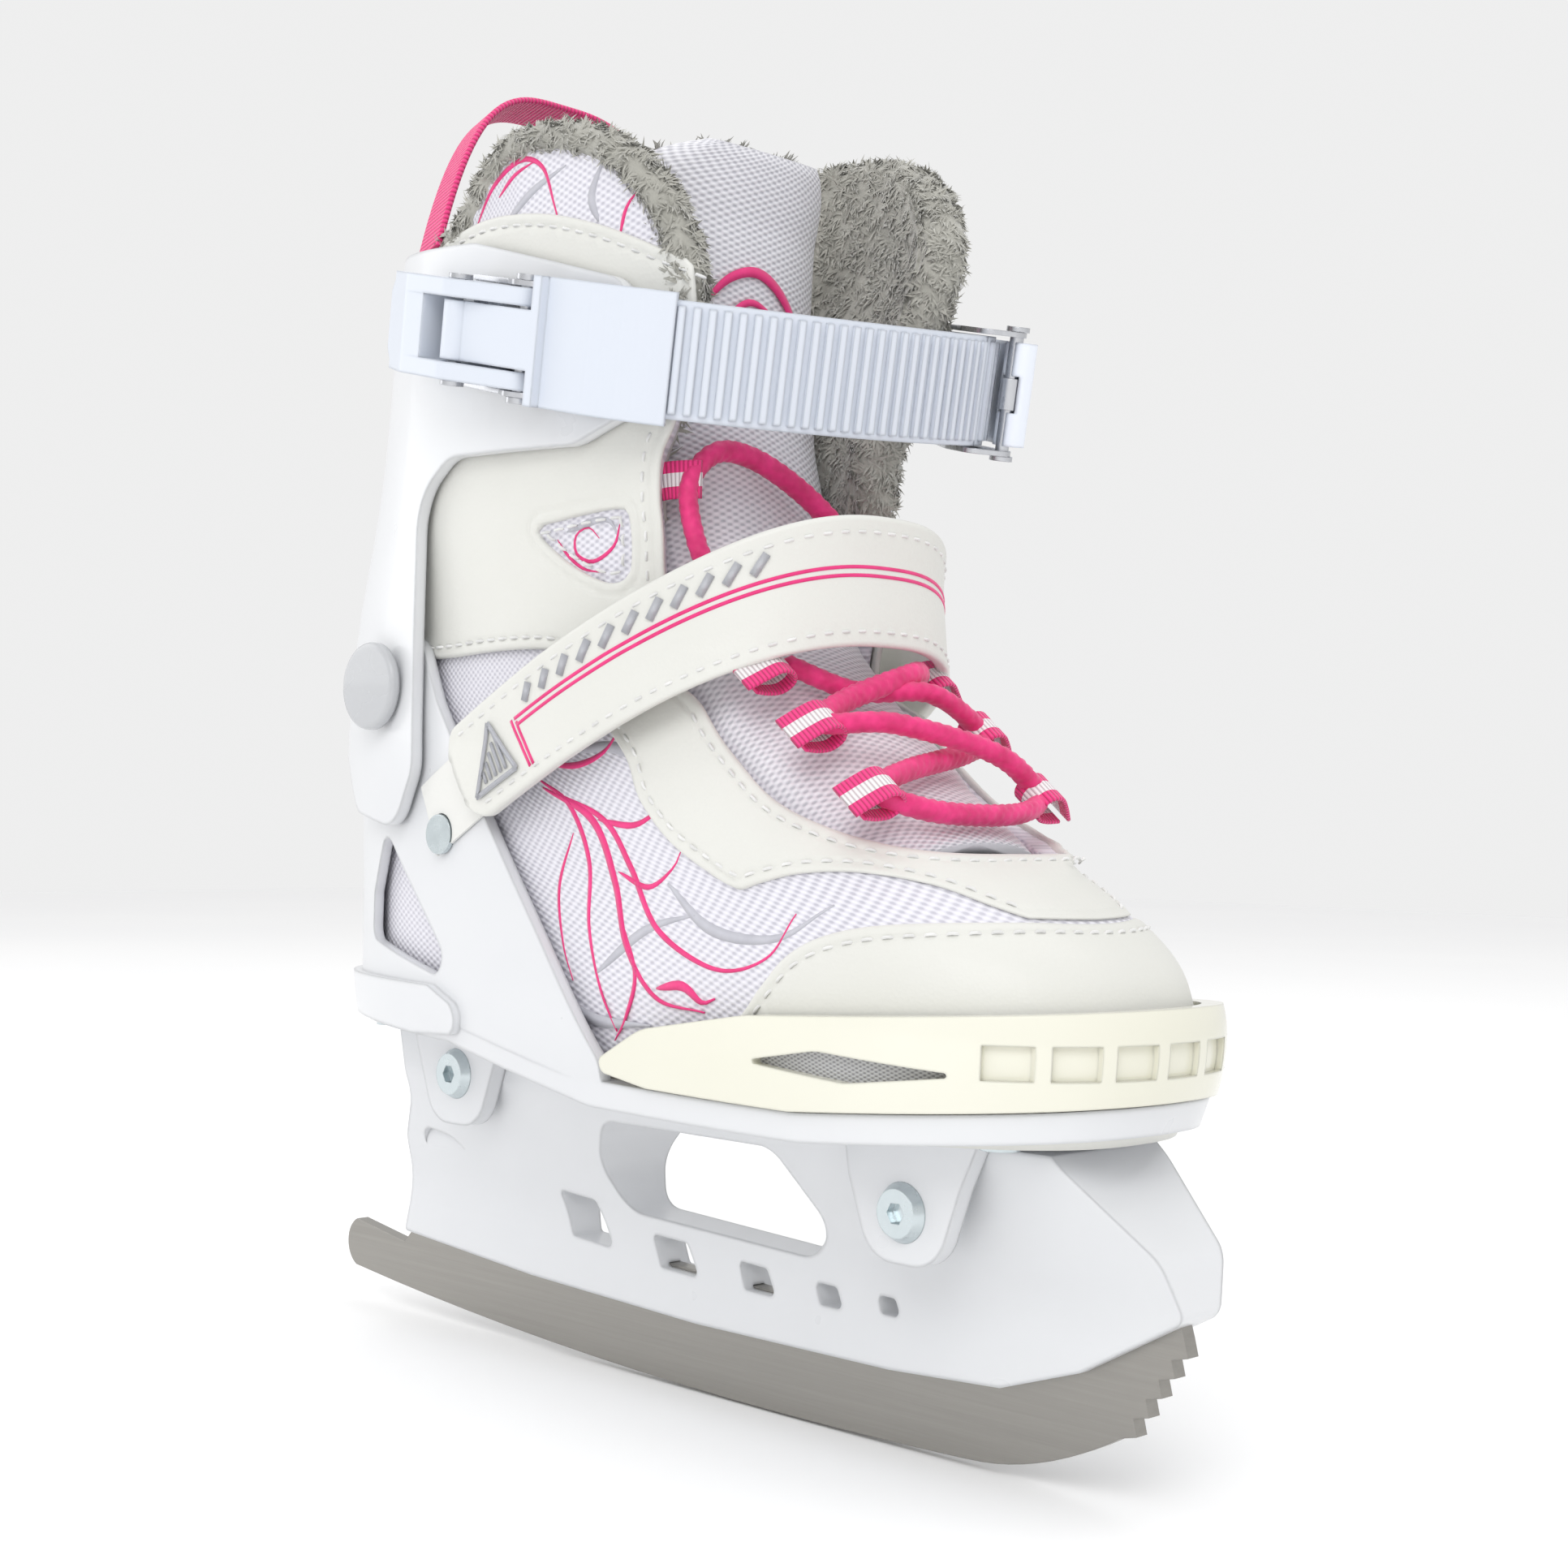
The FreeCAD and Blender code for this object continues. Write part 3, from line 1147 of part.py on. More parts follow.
def make_upper_loops():
    """Two webbing loops at the top of the lacing."""
    shapes = []
    for side in (-1, 1):
        low, high = sorted((side * (TONGUE_HALF + 0.4), side * (THROAT_HALF - 0.4)))
        shapes.append(box((6, low, 200), (14, high, 209)))
    return Part.makeCompound(shapes)


def make_pull_loop():
    """Webbing loop that stands above the back of the collar."""
    lateral, medial = (V(x, y, PULL_LOOP_FOOT_Z) for x, y in PULL_LOOP_FEET)
    span = medial - lateral
    wide = V(span.y, -span.x, 0).normalize()
    path = []
    for step in range(PULL_LOOP_STEPS + 1):
        share = (1 - math.cos(math.pi * step / PULL_LOOP_STEPS)) / 2
        lift = PULL_LOOP_RISE * (1 - abs(2 * share - 1) ** PULL_LOOP_CORNERS)
        path.append(lateral + V(span.x, span.y, 0) * share + V(0, 0, lift))
    outer, inner = [], []
    for index, point in enumerate(path):
        first = path[max(index - 1, 0)]
        last = path[min(index + 1, len(path) - 1)]
        way = (last - first).normalize()
        normal = way.cross(wide)
        outer.append(point + normal * (PULL_LOOP_THICKNESS / 2))
        inner.append(point - normal * (PULL_LOOP_THICKNESS / 2))
    corners = outer + inner[::-1] + [outer[0]]
    face = Part.Face(Part.makePolygon([point - wide * (PULL_LOOP_WIDTH / 2) for point in corners]))
    webbing = face.extrude(wide * PULL_LOOP_WIDTH)
    if webbing.Volume < 0:
        webbing.reverse()
    return webbing.cut(boot_form(255, 272, 0.0))


# ---------------------------------------------------------------------- build
def build():
    save(make_blade(), "blade")
    save(make_holder(), "blade_holder")
    save(make_blade_pins(), "blade_pins")
    save(make_shell(), "base_shell")
    save(sole_screw_shape(SOLE_SCREW_R - 0.02, 4.0), "sole_screws")
    save(make_bolts(), "cross_bolts")
    save(make_bolt_nuts(), "cross_bolt_nuts")
    save(make_bumper(), "toe_bumper")
    save(make_lasting_board(), "lasting_board")
    save(make_boot_lower(), "boot_lower")
    save(make_insole(), "insole")
    save(make_tongue_lower(), "tongue_lower")
    save(make_tongue_upper(), "tongue_upper")
    save(make_tongue_gusset(), "tongue_fold")
    save(make_boot_shaft(), "boot_shaft")
    save(make_collar(), "fur_collar")
    save(make_gusset(), "ankle_gusset")
    save(make_cuff(), "cuff")
    save(make_pivot_rivets(), "pivot_rivets")
    save(make_pivot_caps(), "pivot_caps")
    save(make_shell_rivets(), "shell_rivets")
    save(make_strap_wrap(), "instep_strap_wrap")
    save(make_strap_flap(), "instep_strap_flap")
    save(make_under_strap(), "under_strap")
    save(make_grip_patch(), "strap_grip")
    save(make_ladder_strap(), "ladder_strap")
    save(make_ladder_end(), "ladder_strap_end")
    save(make_carrier(), "strap_carrier")
    save(make_buckle_lever(), "buckle_lever")
    save(make_carrier_pins(), "carrier_pins")
    save(make_buckle_base(), "buckle_base")
    save(make_lever_pin(), "lever_pin")
    save(make_buckle_rivets(), "buckle_rivets")
    save(make_ratchet_frame(), "ratchet_frame")
    save(make_catch_pin(), "catch_pin")
    save(make_catch_lever(), "catch_lever")
    save(make_catch_spring(), "catch_spring")
    save(make_lace_lower(), "lace_lower")
    save(make_lace_upper(), "lace_upper")
    save(make_lace_loops(), "lace_loops")
    save(make_upper_loops(), "upper_lace_loops")
    save(make_pull_loop(), "pull_loop")


build()
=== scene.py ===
"""Looks of a recreational soft-boot ice skate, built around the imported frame.

Frame: +X toe, +Y medial (inner) side, +Z up.  Metres; shapes are worked out in millimetres and scaled by MM.
"""
import bpy
import json
import math
import numpy as np
from mathutils import Matrix, Vector

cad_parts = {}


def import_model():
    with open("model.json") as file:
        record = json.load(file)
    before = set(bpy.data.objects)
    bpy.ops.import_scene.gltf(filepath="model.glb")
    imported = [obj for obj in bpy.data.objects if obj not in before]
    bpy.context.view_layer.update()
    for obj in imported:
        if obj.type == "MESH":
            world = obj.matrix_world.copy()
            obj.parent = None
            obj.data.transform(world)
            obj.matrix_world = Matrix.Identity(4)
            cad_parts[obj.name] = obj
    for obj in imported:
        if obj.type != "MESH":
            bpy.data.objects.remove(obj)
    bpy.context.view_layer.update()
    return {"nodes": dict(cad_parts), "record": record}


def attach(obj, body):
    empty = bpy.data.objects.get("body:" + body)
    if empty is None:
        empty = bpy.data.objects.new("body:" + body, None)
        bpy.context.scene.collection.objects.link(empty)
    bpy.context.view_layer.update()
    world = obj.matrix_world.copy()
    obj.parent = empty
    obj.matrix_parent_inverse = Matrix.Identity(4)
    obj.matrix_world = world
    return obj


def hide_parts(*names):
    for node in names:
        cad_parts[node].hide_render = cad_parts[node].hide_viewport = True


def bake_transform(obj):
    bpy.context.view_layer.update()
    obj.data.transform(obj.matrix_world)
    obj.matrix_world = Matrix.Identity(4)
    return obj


MM = 0.001
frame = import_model()
NODES = frame["nodes"]
SCENE = bpy.context.scene


# ------------------------------------------------------------- materials
class Graph:
    """A procedural material and the few nodes it is wired from."""

    def __init__(self, name, rough=0.5, color=(0.8, 0.8, 0.8), **inputs):
        self.mat = bpy.data.materials.new(name)
        self.mat.use_nodes = True
        self.tree = self.mat.node_tree
        self.shader = self.tree.nodes["Principled BSDF"]
        self.shader.inputs["Base Color"].default_value = (*color, 1)
        self.shader.inputs["Roughness"].default_value = rough
        for key, value in inputs.items():
            self.shader.inputs[key.replace("_", " ")].default_value = value

    def node(self, kind, **settings):
        made = self.tree.nodes.new("ShaderNode" + kind)
        for key, value in settings.items():
            setattr(made, key, value)
        return made

    def link(self, out, to):
        self.tree.links.new(out, to)

    def place(self, scale=(1, 1, 1)):
        coords = self.node("TexCoord")
        mapping = self.node("Mapping")
        mapping.inputs["Scale"].default_value = scale
        self.link(coords.outputs["Object"], mapping.inputs["Vector"])
        return mapping.outputs["Vector"]

    def noise(self, scale, vector=None, detail=3.0, rough=0.5):
        made = self.node("TexNoise")
        made.inputs["Scale"].default_value = scale
        made.inputs["Detail"].default_value = detail
        made.inputs["Roughness"].default_value = rough
        self.link(vector or self.place(), made.inputs["Vector"])
        return made.outputs["Fac"]

    def voronoi(self, scale, vector=None, feature="F1"):
        made = self.node("TexVoronoi", feature=feature)
        made.inputs["Scale"].default_value = scale
        self.link(vector or self.place(), made.inputs["Vector"])
        return made.outputs["Distance"]

    def ramp(self, value, stops):
        made = self.node("ValToRGB")
        band = made.color_ramp
        while len(band.elements) < len(stops):
            band.elements.new(0.5)
        for element, (at, color) in zip(band.elements, stops):
            element.position = at
            element.color = (*color, 1) if len(color) == 3 else color
        self.link(value, made.inputs["Fac"])
        return made.outputs["Color"]

    def math(self, operation, a, b=0.0, c=0.0):
        made = self.node("Math", operation=operation)
        for socket, value in zip(made.inputs, (a, b, c)):
            if isinstance(value, (int, float)):
                socket.default_value = value
            else:
                self.link(value, socket)
        return made.outputs[0]

    def mix(self, factor, a, b):
        made = self.node("Mix", data_type="RGBA")
        for socket, value in ((made.inputs[0], factor), (made.inputs[6], a), (made.inputs[7], b)):
            if isinstance(value, (int, float)):
                socket.default_value = value
            elif isinstance(value, tuple):
                socket.default_value = (*value, 1)
            else:
                self.link(value, socket)
        return made.outputs[2]

    def color(self, value):
        self.link(value, self.shader.inputs["Base Color"])

    def roughness(self, value, low, high):
        spread = self.node("MapRange")
        spread.inputs["To Min"].default_value = low
        spread.inputs["To Max"].default_value = high
        self.link(value, spread.inputs["Value"])
        self.link(spread.outputs["Result"], self.shader.inputs["Roughness"])

    def rounded(self, radius):
        """Eases sharp edges as a mould does."""
        made = self.node("Bevel", samples=4)
        made.inputs["Radius"].default_value = radius * MM
        self.link(made.outputs["Normal"], self.shader.inputs["Normal"])

    def bump(self, height, distance, strength=0.5):
        made = self.node("Bump")
        made.inputs["Strength"].default_value = strength
        made.inputs["Distance"].default_value = distance * MM
        if self.shader.inputs["Normal"].is_linked:
            before = self.shader.inputs["Normal"].links[0].from_socket
            self.link(before, made.inputs["Normal"])
        self.link(height, made.inputs["Height"])
        self.link(made.outputs["Normal"], self.shader.inputs["Normal"])


def plastic(name, tone, shade, low, high, coat=0.0, edge=1.1, **inputs):
    """Moulded plastic: faint flow marks in the colour, orange-peel bump, uneven gloss."""
    g = Graph(name, low, tone, **inputs)
    flow = g.noise(9.0, detail=4.0)
    g.color(g.ramp(flow, ((0.35, shade), (0.65, tone))))
    g.roughness(g.noise(60.0), low, high)
    g.rounded(edge)
    g.bump(g.noise(900.0), 0.05, 0.25)
    g.bump(g.noise(35.0), 0.4, 0.12)
    g.shader.inputs["Coat Weight"].default_value = coat
    return g.mat


def metal(name, tone, shade, grain, low, high):
    """Ground or plated metal: fine scratches along one direction."""
    g = Graph(name, low, tone, Metallic=1.0)
    lines = g.noise(1.0, g.place(grain), detail=5.0, rough=0.7)
    g.color(g.mix(lines, shade, tone))
    g.roughness(lines, low, high)
    g.rounded(0.35)
    g.bump(lines, 0.04, 0.35)
    return g.mat


LOOKS = {
    "white_plastic": plastic("white_plastic", (0.73, 0.74, 0.755), (0.69, 0.70, 0.72), 0.24, 0.36, 0.15, 1.6),
    "cream_bumper": plastic("cream_bumper", (0.79, 0.78, 0.68), (0.74, 0.73, 0.62), 0.14, 0.24, 0.5, 0.8),
    "buckle_plastic": plastic("buckle_plastic", (0.67, 0.71, 0.78), (0.64, 0.68, 0.755), 0.32, 0.44),
    "clear_plastic": plastic("clear_plastic", (0.82, 0.86, 0.93), (0.78, 0.83, 0.92), 0.18, 0.28, 0.3),
    "silver_cap": plastic("silver_cap", (0.50, 0.51, 0.525), (0.45, 0.46, 0.48), 0.22, 0.34, 0.3),
    "steel_blade": metal("steel_blade", (0.39, 0.375, 0.35), (0.29, 0.28, 0.26), (18, 400, 900), 0.30, 0.46),
    "zinc_steel": metal("zinc_steel", (0.66, 0.72, 0.74), (0.52, 0.58, 0.60), (300, 300, 300), 0.18, 0.34),
    "buckle_steel": metal("buckle_steel", (0.60, 0.61, 0.63), (0.44, 0.45, 0.48), (500, 500, 80), 0.20, 0.36),
}

# ------------------------------------------------------------ boot surface
BOOT_LEVELS = np.array((  # level, heel x, toe x, lateral half, medial half, x of the widest place
    (60, -110, 118, 40, 38, 45), (75, -113, 123, 43, 41, 45), (90, -115, 126, 45, 43, 42),
    (104, -115, 121, 44.5, 42.5, 36), (114, -114.5, 109, 44, 42, 26), (124, -114, 90, 43.3, 41.5, 12),
    (136, -113, 71, 42.3, 40.5, -2), (150, -112, 54, 41, 39.5, -16), (165, -110.5, 44, 39.5, 38.5, -25),
    (185, -107.5, 42, 39.5, 39, -30), (210, -102, 45, 41, 41, -30), (240, -95, 49, 42.5, 43, -28),
    (270, -89, 50, 43.5, 45, -25), (300, -85, 50, 44, 46, -24)))
RING_POWER = 2.5
TABLE_Z = np.arange(60.0, 300.5, 1.0)


def smooth_table():
    """The level table at every millimetre, its corners eased by a short running mean."""
    columns = []
    window = np.ones(9) / 9
    for k in range(1, 6):
        line = np.interp(TABLE_Z, BOOT_LEVELS[:, 0], BOOT_LEVELS[:, k])
        before = line[0] - (line[4:0:-1] - line[0])
        after = line[-1] - (line[-2:-6:-1] - line[-1])
        padded = np.concatenate((before, line, after))
        columns.append(np.convolve(padded, window, "valid"))
    return columns


SMOOTH = smooth_table()


def level_row(z):
    return [np.interp(z, TABLE_Z, column) for column in SMOOTH]


def form_point(angle, z, grow=0.0):
    """Point of the last's surface: angle in degrees from the toe, medial side positive."""
    angle, z, grow = np.broadcast_arrays(*(np.asarray(value, float) for value in (angle, z, grow)))
    heel, toe, lateral, medial, widest = level_row(z)
    c, s = np.cos(np.radians(angle)), np.sin(np.radians(angle))
    reach = np.where(c >= 0, toe - widest, widest - heel) + grow
    side = np.where(s >= 0, medial, lateral) + grow
    x = widest + reach * np.sign(c) * np.abs(c) ** (2 / RING_POWER)
    y = side * np.sign(s) * np.abs(s) ** (2 / RING_POWER)
    return np.stack((x, y, z), -1)


EYESTAY_LEVELS = (120, 125.8, 127.6, 131, 136.2, 145.9, 155.8, 170)
EYESTAY_ANGLES = (0, 20, 33, 42.4, 48.2, 49.3, 50.4, 52)


def boot_point(angle, z, grow=0.0):
    """Point of the upper: the last's surface, with the inner flap opened out and its eyestay raised."""
    angle, z = np.asarray(angle, float), np.asarray(z, float)
    flap = np.interp(angle, (4, 22, 80, 110), (0, 1, 1, 0))
    flap = flap * np.interp(z, (215, 235, 262, 300), (0, 3, 9, 10))
    edge = np.interp(z, EYESTAY_LEVELS, EYESTAY_ANGLES)
    lip = 5.0 * np.clip(1 - np.abs(angle - edge) / 22, 0, 1) ** 1.5
    lip = lip * np.interp(z, (118, 126, 156, 166), (0, 1, 1, 0))
    return form_point(angle, z, grow + flap + lip)


def side_angle(x, z, side=-1):
    """Angle of the surface point with this x and level on one side."""
    heel, toe, lateral, medial, widest = level_row(z)
    share = (x - widest) / (toe - widest if x > widest else widest - heel)
    share = max(min(share, 1.0), -1.0)
    c = math.copysign(abs(share) ** (RING_POWER / 2), share)
    return side * math.degrees(math.acos(c))


CHART_ANGLES = np.linspace(-180, 180, 1441)
_chart = form_point(CHART_ANGLES, 112.0)
_steps = np.linalg.norm(np.diff(_chart, axis=0), axis=1)
CHART_ARC = np.concatenate(([0.0], np.cumsum(_steps)))
CHART_ARC -= np.interp(0.0, CHART_ANGLES, CHART_ARC)


def chart(angle):
    """Arc length round the boot, in mm from the toe."""
    return np.interp(angle, CHART_ANGLES, CHART_ARC)


def curve(points, step=1.5, closed=False):
    """Smooth line through 2-D or 3-D points (Catmull-Rom), about step apart."""
    p = np.array(points, float)
    if closed:
        p = np.vstack((p[-1], p, p[0], p[1]))
    else:
        p = np.vstack((2 * p[0] - p[1], p, 2 * p[-1] - p[-2]))
    out = []
    for a, b, c, d in zip(p, p[1:], p[2:], p[3:]):
        count = max(int(np.linalg.norm(c - b) / step), 1)
        for t in np.arange(count) / count:
            out.append(0.5 * (2 * b + (c - a) * t + (2 * a - 5 * b + 4 * c - d) * t * t
                              + (3 * b - a - 3 * c + d) * t ** 3))
    if not closed:
        out.append(p[-2])
    return np.array(out)


def distance(outline, u, v):
    """Signed distance to a closed outline, positive inside."""
    a = outline
    b = np.roll(outline, -1, axis=0)
    best = np.full(u.shape, 1e9)
    inside = np.zeros(u.shape, bool)
    for (ax, ay), (bx, by) in zip(a, b):
        ex, ey = bx - ax, by - ay
        t = np.clip(((u - ax) * ex + (v - ay) * ey) / (ex * ex + ey * ey + 1e-12), 0, 1)
        best = np.minimum(best, (u - ax - t * ex) ** 2 + (v - ay - t * ey) ** 2)
        if ay != by:
            crosses = ((ay > v) != (by > v)) & (u < ex * (v - ay) / ey + ax)
            inside ^= crosses
    return np.where(inside, 1, -1) * np.sqrt(best)


# ------------------------------------------------------------- surface grid
GRID_Z = np.concatenate((np.arange(70.0, 100.0, 2.5), np.arange(100.0, 131.0, 1.25),
                         np.arange(131.5, 299.0, 2.0)))
GRID_ANGLE = np.interp(np.linspace(CHART_ARC[0], CHART_ARC[-1], 301), CHART_ARC, CHART_ANGLES)
GRID_A, GRID_ZZ = np.meshgrid(GRID_ANGLE, GRID_Z)
GRID_U = chart(GRID_A)


def true_distance(outline):
    """Distance on the grid to an outline in chart coordinates, in surface mm near the line."""
    d = distance(outline, GRID_U, GRID_ZZ)
    p = boot_point(GRID_A, GRID_ZZ)
    pu = np.gradient(p, axis=1)
    pv = np.gradient(p, axis=0)
    du, dv = np.gradient(d, axis=1), np.gradient(d, axis=0)
    e, f, g = (pu * pu).sum(-1), (pu * pv).sum(-1), (pv * pv).sum(-1)
    steepness = (g * du ** 2 - 2 * f * du * dv + e * dv ** 2) / np.maximum(e * g - f * f, 1e-9)
    slope = np.sqrt(np.maximum(steepness, 0))
    return d / np.clip(slope, 0.4, 2.5)


def to_chart(points):
    """Outline given as (angle, level) in chart coordinates."""
    return np.array([(chart(a), z) for a, z in points])


def lateral(points):
    """(x, level) points of the lateral side as (angle, level)."""
    return [(side_angle(x, z, -1), z) for x, z in points]


def medial(points):
    return [(side_angle(x, z, 1), z) for x, z in points]


def mirrored(points):
    return [(-a, z) for a, z in points]


class Patch:
    """Polygons cut from the grid along lines of equal distance."""

    def __init__(self, d):
        self.where = []
        self.d = []
        self.index = {}
        self.polygons = []
        top = np.maximum(np.maximum(d[:-1, :-1], d[1:, :-1]), np.maximum(d[:-1, 1:], d[1:, 1:]))
        for i, j in zip(*np.nonzero(top > 0)):
            corners = ((i, j), (i, j + 1), (i + 1, j + 1), (i + 1, j))
            self.polygons.append([self.grid(row, column, d) for row, column in corners])

    def grid(self, i, j, d):
        key = (i, j)
        if key not in self.index:
            self.index[key] = len(self.where)
            self.where.append((GRID_A[i, j], GRID_ZZ[i, j]))
            self.d.append(d[i, j])
        return self.index[key]

    def split(self, level, drop=False):
        """Cuts every polygon along d = level, and drops what lies below it if asked."""
        cuts = {}
        out = []
        d = self.d
        for polygon in self.polygons:
            values = [d[k] - level for k in polygon]
            if min(values) >= 0:
                out.append(polygon)
                continue
            if max(values) <= 0:
                if not drop:
                    out.append(polygon)
                continue
            above, below = [], []
            for (k, value), (m, after) in zip(zip(polygon, values), zip(polygon[1:] + polygon[:1],
                                                                        values[1:] + values[:1])):
                (above if value >= 0 else below).append(k)
                if (value >= 0) != (after >= 0):
                    key = (min(k, m), max(k, m))
                    if key not in cuts:
                        share = value / (value - after)
                        a, b = np.array(self.where[k]), np.array(self.where[m])
                        cuts[key] = len(self.where)
                        self.where.append(tuple(a + (b - a) * share))
                        self.d.append(level)
                    above.append(cuts[key])
                    below.append(cuts[key])
            if len(above) > 2:
                out.append(above)
            if len(below) > 2 and not drop:
                out.append(below)
        self.polygons = out

    def arrays(self):
        used = sorted(set(k for polygon in self.polygons for k in polygon))
        new = {k: i for i, k in enumerate(used)}
        where = np.array([self.where[k] for k in used])
        depth = np.array([self.d[k] for k in used])
        return where, depth, [[new[k] for k in polygon] for polygon in self.polygons]


def mesh_object(name, verts, faces, material, skin=None):
    """Mesh in metres from points in mm, smooth shaded, with weave coordinates if given."""
    data = bpy.data.meshes.new(name)
    data.from_pydata([tuple(v) for v in np.asarray(verts, float) * MM], [], faces)
    made = bpy.data.objects.new(name, data)
    SCENE.collection.objects.link(made)
    if skin is not None:
        layer = data.attributes.new("skin", "FLOAT_VECTOR", "POINT")
        layer.data.foreach_set("vector", np.asarray(skin, np.float32).ravel())
    data.materials.append(material)
    data.polygons.foreach_set("use_smooth", [True] * len(data.polygons))
    data.update()
    return made


def outward(made):
    """Normals outward on a closed piece."""
    for other in bpy.context.selected_objects:
        other.select_set(False)
    bpy.context.view_layer.objects.active = made
    made.select_set(True)
    bpy.ops.object.mode_set(mode="EDIT")
    bpy.ops.mesh.select_all(action="SELECT")
    bpy.ops.mesh.normals_make_consistent(inside=False)
    bpy.ops.object.mode_set(mode="OBJECT")
    made.select_set(False)
    return made


def everywhere(grow):
    """A panel face at one distance from the boot's form."""
    return lambda angle, z: np.full(np.shape(angle), grow)


def by_level(levels, grows):
    """A panel face whose distance from the boot's form changes with level."""
    return lambda angle, z: np.interp(z, levels, grows)


def panel(name, d, material, out, back, edge=0.9, dip=0.0, channel=0.0, lines=()):
    """Sheet cut from the boot's surface: its outside at growth out(angle, z), its back at back(angle, z).
    The edge is rounded over edge mm, and a sewn channel of that depth runs 2.7 mm inside it."""
    patch = Patch(d)
    patch.split(0.0, drop=True)
    levels = [edge * 0.35, edge] + ([1.8, 2.7, 3.6] if channel else []) + list(lines)
    for level in levels:
        patch.split(level)
    where, depth, polygons = patch.arrays()
    angle, z = where[:, 0], where[:, 1]
    high, low = out(angle, z), back(angle, z)
    t = np.clip(depth / edge, 0, 1)
    drop = np.minimum(edge, (high - low) * 0.6) * (1 - np.sqrt(np.clip(1 - (1 - t) ** 2, 0, 1)))
    groove = channel * np.clip(1 - np.abs(depth - 2.7) / 0.9, 0, 1)
    front = boot_point(angle, z, high - drop - groove)
    rear = boot_point(angle, z, low)
    count = len(front)
    edges = {}
    for polygon in polygons:
        for k, m in zip(polygon, polygon[1:] + polygon[:1]):
            edges[(k, m)] = True
    rim = [(k, m) for (k, m) in edges if (m, k) not in edges]
    faces = [list(p) for p in polygons]
    faces += [[k + count for k in reversed(p)] for p in polygons]
    faces += [[m, k, k + count, m + count] for k, m in rim]
    skin = np.stack((chart(angle), z, depth), -1)
    return mesh_object(name, np.vstack((front, rear)), faces, material, np.vstack((skin, skin)))


# ---------------------------------------------------------- soft materials
def leather(name, tone, shade):
    """Coated synthetic leather: fine pebble grain, slight yellowing, satin sheen."""
    g = Graph(name, 0.48, tone)
    g.color(g.ramp(g.noise(14.0, detail=5.0), ((0.3, shade), (0.7, tone))))
    g.roughness(g.noise(45.0), 0.42, 0.56)
    g.bump(g.voronoi(1100.0), 0.10, 0.35)
    g.bump(g.noise(90.0, detail=4.0), 0.35, 0.22)
    g.shader.inputs["Coat Weight"].default_value = 0.06
    return g.mat


def knit(name, tone, shade, painted_highlight, scale=0.62):
    """Spacer mesh: rows of small lens-shaped holes between stitches, in weave coordinates; the holes take a
    painted shade colour and the stitch tops a painted highlight colour.
    """
    g = Graph(name, 0.45, tone)
    split = g.node("SeparateXYZ")
    g.link(g.node("Attribute", attribute_name="skin").outputs["Vector"], split.inputs[0])
    u = g.math("MULTIPLY", split.outputs["X"], 2 * math.pi * scale * 0.5)
    v = g.math("MULTIPLY", split.outputs["Y"], 2 * math.pi * scale)
    first = g.math("SINE", g.math("ADD", v, u))
    second = g.math("SINE", g.math("SUBTRACT", v, u))
    weave = g.math("MULTIPLY", g.math("ADD", first, second), 0.25)
    weave = g.math("ADD", weave, 0.5)
    wide = g.noise(22.0, detail=3.0)
    # colour by weave: painted shade in the holes, the knit's own tone between, painted highlight on the
    # stitch tops
    base = g.ramp(weave, ((0.12, shade), (0.45, tone), (0.9, painted_highlight)))
    # broad noise patches lean toward the painted highlight colour
    g.color(g.mix(g.math("MULTIPLY", wide, 0.35), base, painted_highlight))
    g.roughness(weave, 0.32, 0.62)
    g.bump(weave, 0.35, 0.7)
    g.bump(g.noise(160.0), 0.25, 0.25)
    g.shader.inputs["Sheen Weight"].default_value = 0.25
    return g.mat


def plush_look(name, tone, shade):
    """Short grey pile: fine noise darkens it toward a painted shade colour for the shade down in the pile,
    and broad noise darkens it in patches.
    """
    g = Graph(name, 0.9, tone)
    pile = g.noise(130.0, detail=6.0, rough=0.7)
    wide = g.noise(28.0, detail=3.0)
    # fine noise mixes in the painted shade of the pile's depths
    base = g.ramp(pile, ((0.3, shade), (0.72, tone)))
    # broad noise darkens the pile in patches
    g.color(g.mix(g.math("MULTIPLY", wide, 0.6), base, shade))
    g.roughness(pile, 0.8, 0.95)
    g.bump(pile, 1.2, 0.8)
    g.shader.inputs["Sheen Weight"].default_value = 0.5
    return g.mat


def thread_look(name, tone, shade, scale=1600.0):
    g = Graph(name, 0.6, tone)
    g.color(g.ramp(g.noise(220.0), ((0.35, shade), (0.7, tone))))
    g.roughness(g.noise(400.0), 0.5, 0.7)
    g.bump(g.noise(scale), 0.08, 0.4)
    g.shader.inputs["Sheen Weight"].default_value = 0.2
    return g.mat


